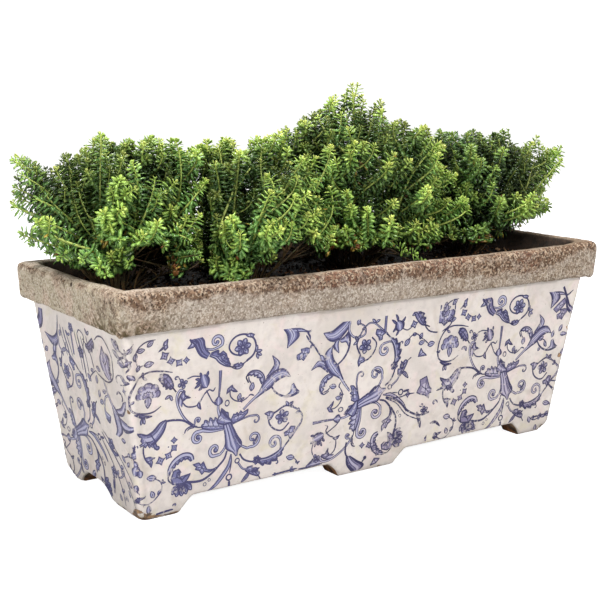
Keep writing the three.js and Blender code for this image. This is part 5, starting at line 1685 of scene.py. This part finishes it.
def airy(p):
    """True for a shoot's tip near the shrubs' two ends or on their highest spires."""
    return not -202 < on_plane(p)[0] < 204 or p[2] > 254


def whose(x, y):
    return sum(x > x0 + m * y for x0, m in PARTINGS)


def one_stem(i, rng, p3, lean, kind, others):
    """One stem to a tip, from the soil, or from one of the other stems where they are given."""
    bx, by = BASES[i]
    th = math.atan2(p3[1] - by, p3[0] - bx)
    if kind in ("dome", "flank"):
        lean = lean + rng.normal(size=3) * ((0.5, 0.5, 0.18) if i < 2 else (0.24, 0.24, 0.1))
    lean = lean / np.linalg.norm(lean)
    wig = rng.normal(size=3) * ((6.5, 6.5, 2.6) if i < 2 else (4.6, 4.6, 2.0))
    if kind in ("side", "spire"):
        wig *= 0.4
    start = None
    if others:
        # a place on another stem below the tip and about 40 mm away
        want = 30.0 if kind == "low" else 42.0
        drop = -6.0 if kind == "low" else 0.45
        best = 1e9
        for path, _, _, first in others:
            if not first:
                continue
            n = len(path)
            cut = path[int(n * 0.22): max(int(n * 0.78), int(n * 0.22) + 1)]
            dist = np.linalg.norm(cut - p3, axis=1)
            rise = p3[2] - cut[:, 2]
            cost = np.abs(dist - want) + rng.uniform(0, 9)
            if kind == "low":
                cost = cost + 2.5 * np.clip(-14 - rise, 0, None)
            else:
                cost = cost + 2.5 * np.clip(drop * dist - rise, 0, None)
            cost = cost + 6.0 * np.clip(145 - cut[:, 2], 0, None)
            j = int(np.argmin(cost))
            if cost[j] < best:
                best, start = cost[j], (path, int(n * 0.22) + j)
    if start is not None and best < 70:
        path, j = start
        p0 = path[j]
        t = path[min(j + 1, len(path) - 1)] - path[j - 1]
        t = t / np.linalg.norm(t)
        span = np.linalg.norm(p3 - p0)
        to = (p3 - p0) / max(span, 1e-6)
        p1 = p0 + (0.5 * t + 0.55 * to) * span * 0.36
        p2 = p3 - lean * span * rng.uniform(0.34, 0.46)
        wig = wig * 0.5
    else:
        d = min(math.hypot(p3[0] - bx, p3[1] - by) * 0.16, 11) + rng.uniform(0, 4)
        p0 = np.array([bx + d * math.cos(th) + rng.normal() * 1.6, by + d * math.sin(th) + rng.normal() * 1.6, SOIL_Z - 1.5])
        span = np.linalg.norm(p3 - p0)
        out = np.array([math.cos(th), math.sin(th), 0.0])
        flat = np.linalg.norm((p3 - p0)[:2])
        if kind == "low":
            p1 = p0 + np.array([0, 0, 1]) * span * rng.uniform(0.45, 0.75) + out * span * 0.12
            p2 = p3 - lean * span * 0.42 + np.array([0, 0, 5.0])
        else:
            # rising first, then bending outwards and up again
            p1 = p0 + np.array([0, 0, 1]) * span * rng.uniform(0.20, 0.32) + out * min(flat, 64) * rng.uniform(0.34, 0.60)
            p2 = p3 - lean * span * rng.uniform(0.34, 0.5)
    path = even3(bezier(p0, p1 + wig, p2 - wig, p3, 48), 1.0)
    # stems keep clear of the rim
    low = path[:, 2] < 152
    if (low & ((np.abs(path[:, 0]) > 181) | (np.abs(path[:, 1]) > 58))).any():
        path[low, 0] = np.clip(path[low, 0], -181, 181)
        path[low, 1] = np.clip(path[low, 1], -58, 58)
        for _ in range(14):
            path[1:-1] = 0.25 * path[:-2] + 0.5 * path[1:-1] + 0.25 * path[2:]
        path = even3(path, 1.0)
    # and end within the shrubs' outline
    seen = on_plane(path)
    beside = ~within(seen, FULL) & (np.abs(path[:, 0]) > 180)
    out_at = np.where((~within(seen, OPEN_BELOW) & (path[:, 2] > 150)) | beside | (np.abs(path[:, 1]) > 85))[0]
    if len(out_at):
        path = path[: max(out_at[0] - 2, 0)]
    if (kind == "low" or start is not None) and len(path):
        ok = np.where(in_view(path))[0]
        path = path[: ok[-1] + 1] if len(ok) else path[:0]
    return path if len(path) >= 16 else None


def plan_stems(i, rng):
    """The stems of one shrub as polylines in mm, lowest point first."""
    bx, by = BASES[i]
    rings = np.array(CROWNS[i], float)
    z_wide = rings[np.argmax(rings[:, 3]), 0]
    z_top = rings[-1, 0]
    tips = []

    def tip(p, lean, kind, yellow=0):
        tips.append((pull_in(i, p, 2.4), np.asarray(lean, float), kind, yellow))

    def dome_z(x, y):
        zs = np.linspace(z_wide, z_top, 40)
        inside = [((x - a) / c) ** 2 + ((y - d) / e) ** 2 < 1 for a, d, c, e in (crown_ring(i, z) for z in zs)]
        return zs[max([j for j, v in enumerate(inside) if v], default=0)]

    # bunches of stems over the dome, each with one leader
    n_bunch = (16, 13, 19, 15)[i]
    firsts = set()
    for b in range(n_bunch):
        firsts.add(len(tips))
        rho = math.sqrt((b + 0.5) / n_bunch) * 0.93
        th = b * 2.39996 + rng.uniform(-0.25, 0.25) + i
        cx, cy, rx, ry = crown_ring(i, z_wide)
        x0, y0 = cx + rho * rx * math.cos(th), cy + rho * ry * math.sin(th)
        for k in range((6, 6, 6, 6)[i]):
            off = rng.normal(size=2) * (0 if k == 0 else 9.5)
            x, y = x0 + off[0], y0 + off[1]
            zt = dome_z(x, y)
            cxz, cyz, _, _ = crown_ring(i, zt)
            rad = np.array([x - cxz, y - cyz])
            drop = rng.uniform(0, 4) if k == 0 else rng.uniform(5, 30)
            tip(np.array([x, y, zt - drop]), [rad[0] / rx * 0.6, rad[1] / ry * 0.6, 1.0], "dome")
    # the flanks, denser towards the front
    for b in range((46, 34, 50, 44)[i]):
        th = b * 2.39996 + rng.uniform(-0.3, 0.3)
        if b % 4 == 0:
            th = -math.pi / 2 + rng.uniform(-1.2, 1.2)
        z = rng.uniform(164, z_wide + 10)
        cx, cy, rx, ry = crown_ring(i, z)
        k = rng.uniform(0.80, 1.0)
        tip(np.array([cx + k * rx * math.cos(th), cy + k * ry * math.sin(th), z]), [math.cos(th) * 0.75, math.sin(th) * 0.75, 0.8], "flank")
    for b in range(16):
        cx, cy, rx, ry = crown_ring(i, 165)
        x, y = cx + rx * rng.uniform(-0.85, 0.85), rng.uniform(by + 14, 57)
        tip(np.array([float(np.clip(x, -178, 178)), y, rng.uniform(147, 172)]), [0.3 * (x - bx) / rx, 0.5, 0.8], "inner")
    # inside the crown and low at its back
    for b in range((46, 34, 56, 40)[i]):
        th = rng.uniform(0, 2 * math.pi)
        z = rng.uniform(152, z_wide + 6)
        cx, cy, rx, ry = crown_ring(i, z)
        k = math.sqrt(rng.uniform(0.02, 0.66))
        x, y = cx + k * rx * math.cos(th), cy + k * ry * math.sin(th)
        if z < 165 and y < by + 6:
            y = by + 6 + rng.uniform(0, 26)
        tip(np.array([x, float(np.clip(y, -56, 56)) if z < 158 else y, z]), [math.cos(th) * 0.6, math.sin(th) * 0.6, 0.7], "inner")
    # against the neighbours
    for k, way in ((i - 1, 1), (i, -1)):
        if 0 <= k < 3:
            x0, m = PARTINGS[k]
            for j in range(26):
                y = -46 + 98 * (j + rng.uniform(0, 1)) / 26
                x = x0 + m * y + way * rng.uniform(2.5, 10)
                z = rng.uniform(152, 226)
                tip(np.array([x, y, z]), [-way * 0.35, y / 90, 1.0], "flank")
    # drooping shoots at the back
    for b in range(7):
        th = math.pi / 2 + rng.uniform(-1.3, 1.3)
        d = rng.uniform(34, 48)
        x, y = bx + d * math.cos(th), float(np.clip(by + d * math.sin(th), -57, 57))
        tip(np.array([float(np.clip(x, -180, 180)), y, rng.uniform(146, 164)]), [math.cos(th), math.sin(th), rng.uniform(-0.1, 0.5)], "low")
    for x, y, z, yellow in DROOPING:
        if whose(x, y) == i:
            th = math.atan2(y - by, x - bx)
            tip(np.array([x, y, z], float), [math.cos(th) * 0.8, math.sin(th) * 0.8, rng.uniform(-0.35, 0.35)], "low", yellow)
    for x, y, z in SPIRES:
        if whose(x, y) == i:
            cx, cy, rx, ry = crown_ring(i, z_wide)
            tip(np.array([x, y, z + 2.0]), [(x - cx) / rx * 0.55, (y - cy) / ry * 0.4, 1.0], "spire")
    for x, y, z in SIDEWAYS:
        if whose(x, y) == i:
            tip(np.array([x, y, z], float), [0.9 * np.sign(x), 0.1, rng.uniform(0.25, 0.8)], "side")
    # a few leaders rise from the soil, the rest branch off them
    lead = [k == 0 or rng.random() < {"dome": 0.0, "spire": 0.4, "flank": 0.16, "low": 0.22, "side": 0.3, "inner": 0.1}[kind]
            for k, (_, _, kind, _) in ((0 if t in firsts else 1, v) for t, v in enumerate(tips))]
    stems = []
    for rank in (True, False):
        for (p3, lean, kind, yellow), first in zip(tips, lead):
            if first == rank:
                path = one_stem(i, rng, p3, lean, kind, None if first else stems)
                if path is not None:
                    stems.append((path, kind, yellow, first))
    # towards the two ends the shoots stand apart
    stems = [s for k, s in enumerate(stems) if s[3] or s[1] in ("low", "side", "spire") or not airy(s[0][-1]) or k % 3 == 0]
    # side shoots
    for k in range(len(stems)):
        path, kind, _, first = stems[k]
        if rng.random() > (0.7 if first else 0.5) or kind == "low" or len(path) < 34:
            continue
        j = int(len(path) * rng.uniform(0.34, 0.7))
        base = path[j]
        t = path[j + 1] - path[j]
        t /= np.linalg.norm(t)
        s = np.cross(t, rng.normal(size=3))
        s /= np.linalg.norm(s)
        length = rng.uniform(16, 34)
        end = pull_in(i, base + s * length * 0.6 + np.array([0, 0, 1]) * length * 0.7, 2.4)
        shoot = even3(bezier(base, base + s * length * 0.35 + t * length * 0.1, end - np.array([0, 0, 1]) * length * 0.3, end, 20), 1.0)
        ok = in_view(shoot) & (np.abs(shoot[:, 1]) < 85)
        if ok.all():
            stems.append((shoot, "shoot", 0, False))
    # and the shoots that fill what is thin, each with numbers of its own
    leaders = [s for s in stems if s[3]]
    for k, (x, y, z) in enumerate(FILLERS):
        if whose(x, y) == i:
            rng2 = np.random.default_rng(9000 + k)
            p3 = pull_in(i, np.array([x, y, z], float), 2.4)
            path = one_stem(i, rng2, p3, np.array([0.2 * rng2.normal(), 0.2, 1.0]), "inner", leaders)
            if path is not None:
                stems.append((path, "inner", 0, False))
    return stems


def even3(p, gap):
    d = np.concatenate([[0], np.cumsum(np.linalg.norm(np.diff(p, axis=0), axis=1))])
    n = max(4, int(d[-1] / gap) + 1)
    s = np.linspace(0, d[-1], n)
    return np.stack([np.interp(s, d, p[:, k]) for k in range(3)], -1)


LEAF_F = np.array([
    (0, 2, 1), (0, 3, 2), (0, 4, 3), (0, 1, 4),
    (1, 2, 6), (1, 6, 5), (2, 3, 7), (2, 7, 6), (3, 4, 8), (3, 8, 7), (4, 1, 5), (4, 5, 8),
    (5, 6, 9), (6, 7, 9), (7, 8, 9), (8, 5, 9),
])


def leaves(P, T, D, L, W, lift, curl, roll):
    """Small thick leaves: base points P, stem directions T, outward directions D, lengths, widths, lift, curl and roll."""
    d = D * np.cos(lift)[:, None] + T * np.sin(lift)[:, None]
    w = np.cross(T, D)
    w /= np.linalg.norm(w, axis=1)[:, None]
    n = np.cross(d, w)
    c, s = np.cos(roll)[:, None], np.sin(roll)[:, None]
    w, n = w * c + n * s, n * c - w * s
    th = 0.34
    out = np.empty((len(P), 10, 3))

    def at(s, side_k, up_k):
        c = P + d * (s * L)[:, None] - n * (curl * s * s * L)[:, None]
        return c + w * (side_k * W / 2)[:, None] + n * up_k[:, None]

    one = np.ones(len(P))
    out[:, 0] = P
    for k, (s, f) in enumerate(((0.32, 0.80), (0.73, 1.0))):
        o = 1 + 4 * k
        out[:, o] = at(s, f, W * -0.07 * one)
        out[:, o + 1] = at(s, 0.0, W * 0.09 * one)
        out[:, o + 2] = at(s, -f, W * -0.07 * one)
        out[:, o + 3] = at(s, 0.0, -th * one)
    out[:, 9] = at(1.0, 0.0, 0.0 * one)
    return out


ALONG = np.array([0, 0.33, 0.33, 0.33, 0.33, 0.74, 0.74, 0.74, 0.74, 1.0])
UNDER = np.array([0, 0, 0, 0, 1.0, 0, 0, 0, 1.0, 0])
ACROSS = np.array([0, 1, 0, 1, 0.2, 1, 0, 1, 0.2, 0.3])
ACROSS_UV = np.array([0.5, 0, 0.5, 1, 0.5, 0, 0.5, 1, 0.5, 0.5])


def leaf_finish():
    t = Tree("small_glossy_leaves", 0.42, 0.5)
    young_and_lit = t.attr("young_and_lit").outputs["Fac"]
    rnd = t.attr("rnd").outputs["Fac"]
    dry = t.attr("dry").outputs["Fac"]
    across = t.attr("across").outputs["Fac"]
    along = t.attr("along").outputs["Fac"]
    c = t.mix(t.ramp(rnd, 0.1, 0.9), lin(73, 121, 54), lin(119, 168, 78))
    c = t.mix(t.ramp(t.noise(16, 3), 0.40, 0.62, 0, 0.6), c, lin(88, 138, 70))
    # the young colour also carries painted light at the shrubs' open ends
    c = t.mix(t.ramp(young_and_lit, 0.15, 0.65), c, lin(168, 202, 88))
    c = t.mix(t.ramp(young_and_lit, 0.62, 1.0), c, lin(223, 231, 118))
    c = t.mix(t.ramp(across, 0.0, 0.45, 0.40, 0.0), c, lin(160, 182, 106))
    c = t.mix(t.ramp(along, 0.55, 1.0, 0.0, 0.22), c, lin(150, 172, 84))
    c = t.mix(t.ramp(t.noise(520, 2), 0.55, 0.72, 0, 0.25), c, lin(44, 70, 30))
    yellow = t.mix(t.ramp(rnd, 0.3, 0.7), lin(196, 168, 78), lin(132, 84, 44))
    c = t.mix(t.ramp(dry, 0.3, 0.7), c, yellow)
    # painted shade: the leaves' undersides darkened
    c = t.mix(t.math("MULTIPLY", t.attr("under").outputs["Fac"], 0.6), c, lin(50, 74, 34))
    # painted shade: leaves deep inside the crowns darkened towards a near-black green
    c = t.mix(t.math("MULTIPLY", t.attr("painted_shade").outputs["Fac"], 0.88), c, lin(21, 37, 17))
    rough = t.ramp(rnd, 0.0, 1.0, 0.24, 0.42)
    return t.done(c, rough, t.bump(t.noise(900, 2), 0.0002, 0.35))


def bark_finish():
    t = Tree("green_stems", 0.5, 0.4)
    along = t.attr("along").outputs["Fac"]
    c = t.mix(t.ramp(t.noise(60, 3), 0.35, 0.65), lin(188, 201, 106), lin(158, 178, 84))
    c = t.mix(t.ramp(along, 0.75, 1.0, 0, 0.7), c, lin(176, 192, 90))
    # painted shade: stems deep inside the crowns darkened
    c = t.mix(t.math("MULTIPLY", t.attr("painted_shade").outputs["Fac"], 0.5), c, lin(52, 62, 30))
    # bare brown wood, darkened nearly to black as painted shade where the stems sit low under the crowns
    wood_and_shade = t.attr("wood_and_shade").outputs["Fac"]
    c = t.mix(t.ramp(wood_and_shade, 0.2, 0.8, 0, 0.96), c, t.mix(t.ramp(t.noise(120, 3), 0.4, 0.6), lin(84, 60, 38), lin(42, 31, 22)))
    c = t.mix(t.ramp(t.noise(500, 3), 0.58, 0.7, 0, 0.4), c, lin(104, 112, 60))
    return t.done(c, None, t.bump(t.noise(700, 3), 0.0003, 0.6))


leaf_mat, bark_mat = leaf_finish(), bark_finish()


def unit(v):
    return v / np.maximum(np.linalg.norm(v, axis=-1, keepdims=True), 1e-9)


def depth(p, i):
    """How much painted shade a point gets: more the deeper it sits inside crown i, from 0 at its skin; the crowns' ends
    and peaks are the more open parts and get less, each shrub has its own offset, and points seen outside the outline
    get full shade.
    """
    rings = np.array(CROWNS[i], float)
    wide = rings[np.argmax(rings[:, 3])]
    zc = np.clip(p[:, 2], 137.2, wide[0])
    cx, cy, rx, ry = (np.interp(zc, rings[:, 0], rings[:, k]) for k in (1, 2, 3, 4))
    r = np.hypot((p[:, 0] - cx) / rx, (p[:, 1] - cy) / ry)
    over = wide[0] + (rings[-1, 0] - wide[0]) * np.sqrt(np.clip(1 - r * r, 0, 1)) - p[:, 2]
    seen = on_plane(p)
    open_part = np.interp(seen[:, 0], [-208, -190, -165, -140, -100, -85, -35, -20, 0, 45, 60, 100, 112, 150, 175, 200, 240],
                          [0.0, 0.28, 0.28, 0.0, 0.0, -0.09, -0.09, 0.0, 0.14, 0.14, 0.22, 0.22, 0.0, 0.05, 0.3, 0.6, 0.65])
    if i == 3:
        open_part = np.where(seen[:, 0] > 112, open_part, 0.0)
    d = np.clip(step(3, 26, np.minimum((1 - r) * rx, over)) + (0.04, -0.26, -0.08, 0.50)[i] - open_part, 0, 1)
    return np.where(within(seen, FULL), d, 1.0)


def grow(i):
    rng = np.random.default_rng(500 + i)
    stems = plan_stems(i, rng)
    P, T, D, L, W, LIFT, CURL, Y, DRY, R, J = ([] for _ in range(11))
    SV, SF, SA, SU, SW, SD, count = [], [], [], [], [], [], 0
    cells_side = int(math.ceil(math.sqrt(len(stems))))
    for k, (path, kind, yellow, first) in enumerate(stems):
        length = len(path) - 1.0
        t = unit(np.gradient(path, axis=0))
        thick = {"shoot": 0.54, "low": 0.60}.get(kind, 0.73) * rng.uniform(0.85, 1.15) * (1.0 if first else 0.88)
        step_k = 3
        sub = path[::step_k] if (len(path) - 1) % step_k == 0 else np.vstack([path[::step_k], path[-1:]])
        rad = thick * np.interp(np.linspace(0, 1, len(sub)), [0, 0.25, 0.6, 1], [0.85, 1.05, 1.0, 0.55])
        # bare brown wood near the soil and where the stems show below the crowns' outline, its dark colour partly
        # painted shade
        seen = on_plane(sub)
        wood_and_shade = np.where(~within(seen, FULL) | ~within(seen + (0, -7), FULL), 1.0, 0.0) * step(176, 166, sub[:, 2])
        wood_and_shade = np.maximum(wood_and_shade, step(152, 143, sub[:, 2]))
        wood_and_shade = np.convolve(np.pad(wood_and_shade, 2, mode="edge"), np.ones(5) / 5, "valid")
        rad = rad * (1 - 0.28 * wood_and_shade)
        v, f, along, around = tube(sub, rad, 5)
        SW.append(np.interp(along, np.linspace(0, 1, len(sub)), wood_and_shade))
        SD.append(np.interp(along, np.linspace(0, 1, len(sub)), depth(sub, i)))
        cell = np.array([k % cells_side, k // cells_side])
        SV.append(v)
        SF.append(f + count)
        SA.append(along * (1 if kind != "shoot" else 0.5) + (0 if kind != "shoot" else 0.5))
        SU.append((cell + np.stack([0.1 + 0.8 * around, 0.1 + 0.8 * along], -1)) / cells_side)
        count += len(v)
        # nodes from the tip down, each with a pair of leaves a quarter turn from the last
        bare = ({"low": 0.24}.get(kind, 0.20) if first else 0.08) * length
        s, turn, j = length - 0.2, rng.uniform(0, np.pi), 0
        ref = unit(np.cross(t[-1], rng.normal(size=3)))
        vigour = rng.uniform(0.86, 1.12)
        # painted light and shade: each shrub's fresh colour is scaled by its own factor, the fourth shrub's the darkest
        fresh_and_lit = {"low": 0.6, "side": 0.7, "inner": 0.4}.get(kind, 1.0) * rng.uniform(0.7, 1.0) * (1.0, 1.14, 1.08, 0.74)[i]
        sick = rng.random() < 0.03
        apart = kind == "side" or (airy(path[-1]) and kind in ("spire", "dome", "flank", "inner"))
        while s > bare:
            q = int(s)
            at = path[q] + (path[min(q + 1, len(path) - 1)] - path[q]) * (s - q)
            tt = t[q]
            a = unit(ref - tt * (ref @ tt))
            b = np.cross(tt, a)
            ang = turn + j * np.pi / 2 + rng.normal() * 0.12
            d = a * math.cos(ang) + b * math.sin(ang)
            grown = min(1.0, 0.40 + j / 6.5)
            frac = (length - s) / max(length, 1)
            base_fade = np.interp(s, [bare, bare + 14], [0.72, 1.0])
            for sign in (1, -1):
                if rng.random() < np.interp(s, [bare, bare + 16], [0.35, 0.0]):
                    continue
                P.append(at + sign * d * thick * 0.55)
                T.append(tt)
                D.append(sign * d)
                L.append(5.7 * grown * vigour * base_fade * rng.uniform(0.86, 1.14))
                W.append((2.15 if apart or kind == "low" else 2.4) * (0.46 + 0.54 * grown) * rng.uniform(0.88, 1.15))
                LIFT.append(np.interp(j, [0, 1, 3, 6, 14, 40], [1.2, 0.85, 0.55, 0.46, 0.36, 0.24]) + rng.normal() * 0.13)
                CURL.append(np.interp(j, [0, 3, 12], [0.0, 0.34, 0.58]) + rng.normal() * 0.10)
                Y.append(np.clip(fresh_and_lit * np.interp(j, [0, 3, 8, 18], [1.0, 0.66, 0.28, 0.06]) + rng.normal() * 0.07, 0, 1))
                DRY.append(1.0 if (rng.random() < (0.07 if s < bare + 9 else 0.002) or (sick and s < length * 0.4)) else 0.8 * yellow)
                R.append(rng.random())
                J.append(j)
            s -= np.interp(j, [0, 3, 8, 30], [0.7, 1.1, 1.75, 2.2]) * rng.uniform(0.85, 1.15) * (1.24 if apart else 1.0)
            j += 1
    P, T, D = (np.array(v) for v in (P, T, D))
    L, W, LIFT, CURL, Y, DRY, R, J = (np.array(v) for v in (L, W, LIFT, CURL, Y, DRY, R, J))
    V = leaves(P, T, D, L, W, LIFT, CURL, rng.normal(size=len(P)) * 0.32)
    # painted light: leaves at the shrubs' two open ends, placed by where they are seen from the camera, get more of the
    # young colour; so do the leaves near the highest spires
    Y = Y + np.interp(on_plane(P)[:, 0], [-208, -190, -165, -140, 0, 45, 60, 100, 112, 165, 200, 240],
                      [0.0, 0.07, 0.07, 0.0, 0.0, 0.04, 0.10, 0.10, 0.0, 0.04, 0.26, 0.30])
    Y = np.clip(Y + 0.13 * step(244, 262, P[:, 2]), 0, 1)
    # leaves beside a neighbour turn along the parting
    for k, way in ((i - 1, 1), (i, -1)):
        if 0 <= k < 3:
            d = way * (V[..., 0] - parting(k, V[..., 1]))
            d0 = way * (P[:, 0] - parting(k, P[:, 1]))
            low = d.min(1)
            edge = 0.6 + 2.4 * ragged(P[:, 1], P[:, 2], 2 * i + (way < 0)) * np.random.default_rng(7000 + 10 * i + k).random(len(P))
            edge = np.where(d0 > edge + 0.4, edge, 0.6)
            f = np.where((low < edge) & (d0 > edge + 0.2), (d0 - edge) / np.maximum(d0 - low, 1e-6), 1.0)
            V[..., 0] += way * np.minimum(d - d0[:, None], 0) * (f - 1)[:, None]
    x, y, z = V[..., 0], V[..., 1], V[..., 2]
    bad = ~own_side(i, x, y, 0.5)
    bad |= z < 137.4
    bad |= (z < 149.6) & ((np.abs(x) > 187.5) | (np.abs(y) > 64.5))
    bad |= (np.abs(x) > 250) | (np.abs(y) > 88) | (z > 274)
    keep = ~bad.any(1) & in_view(V.mean(1))
    # how much painted shade each leaf gets from its depth in its crown
    painted_shade = depth(P, i)
    order = np.argsort(-J[keep], kind="stable")
    V, Y, DRY, R, painted_shade = (a[keep][order] for a in (V, Y, DRY, R, painted_shade))
    total = len(V)
    rep = lambda a: np.repeat(a, 10)
    # the older leaves lower on the stems and the younger ones near the tips, as two pieces
    for part, cut in (("older", slice(0, total // 2)), ("younger", slice(total // 2, total))):
        v, n = V[cut], len(V[cut])
        F = (LEAF_F[None] + 10 * np.arange(n)[:, None, None]).reshape(-1, 3)
        side_n = int(math.ceil(math.sqrt(n)))
        cell = np.stack([np.arange(n) % side_n, np.arange(n) // side_n], -1)
        uv = (cell[:, None] + np.stack([0.12 + 0.76 * ALONG, 0.12 + 0.76 * ACROSS_UV], -1)[None]) / side_n
        joined(f"leaves_{i + 1}_{part}", v.reshape(-1, 3), F, f"plant_{i + 1}", leaf_mat,
               [("young_and_lit", rep(Y[cut])), ("dry", rep(DRY[cut])), ("rnd", rep(R[cut])), ("painted_shade", rep(painted_shade[cut])),
                ("along", np.tile(ALONG, n)), ("across", np.tile(ACROSS, n)), ("under", np.tile(UNDER, n))], uv.reshape(-1, 2))
    o = joined(f"stems_{i + 1}", np.concatenate(SV), np.concatenate(SF), f"plant_{i + 1}", bark_mat,
               [("along", np.concatenate(SA)), ("wood_and_shade", np.concatenate(SW)), ("painted_shade", np.concatenate(SD))], np.concatenate(SU))
    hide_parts(f"plant_{i + 1}_foliage")
    print(f"plant {i + 1}: {len(stems)} stems, {total} leaves")


for i in range(4):
    grow(i)


# ---------------------------------------------------------------- the studio
floor_me = bpy.data.meshes.new("floor")
s = 6.0
floor_me.from_pydata([(-s, -s, 0), (s, -s, 0), (s, s, 0), (-s, s, 0)], [], [(0, 1, 2, 3)])
floor = link("floor", floor_me)
ft = Tree("pale_floor", 0.9, 0.1)
ft.bsdf.inputs["Base Color"].default_value = (0.5, 0.5, 0.5, 1)
# seen directly it is almost white, with a faint shadow; the object only gets its plain bounce light
seen = ft.nt.nodes.new("ShaderNodeLightPath").outputs["Is Camera Ray"]
ft.put(ft.bsdf.inputs["Emission Color"], (1.0, 1.0, 1.0, 1.0))
ft.put(ft.bsdf.inputs["Emission Strength"], ft.math("MULTIPLY", seen, 0.95))
floor_me.materials.append(ft.mat)

world = bpy.data.worlds.new("studio")
bpy.context.scene.world = world
world.use_nodes = True
wn = world.node_tree
sky = wn.nodes["Background"]
sky.inputs["Color"].default_value = (1, 1, 1, 1)
path = wn.nodes.new("ShaderNodeLightPath")
level = wn.nodes.new("ShaderNodeMapRange")
level.inputs["To Min"].default_value, level.inputs["To Max"].default_value = 0.21, 1.1
wn.links.new(path.outputs["Is Camera Ray"], level.inputs["Value"])
wn.links.new(level.outputs["Result"], sky.inputs["Strength"])


def area(name, at, to, size, watts, tint=(1, 1, 1)):
    d = bpy.data.lights.new(name, "AREA")
    d.shape, d.size, d.energy, d.color = "DISK", size, watts, tint
    o = bpy.data.objects.new(name, d)
    bpy.context.scene.collection.objects.link(o)
    o.location = at
    o.rotation_mode = "QUATERNION"
    o.rotation_quaternion = (Vector(to) - Vector(at)).to_track_quat("-Z", "Y")
    return o


area("key", (0.13, -1.75, 1.05), (0, 0, 0.12), 0.5, 22.2)
area("fill", (-1.7, -0.7, 0.7), (0, 0, 0.1), 0.7, 18.8)
area("top", (-0.2, -0.1, 1.6), (0, 0, 0.15), 0.32, 25)
area("back", (0.6, 1.6, 0.8), (0, 0, 0.1), 0.7, 8)
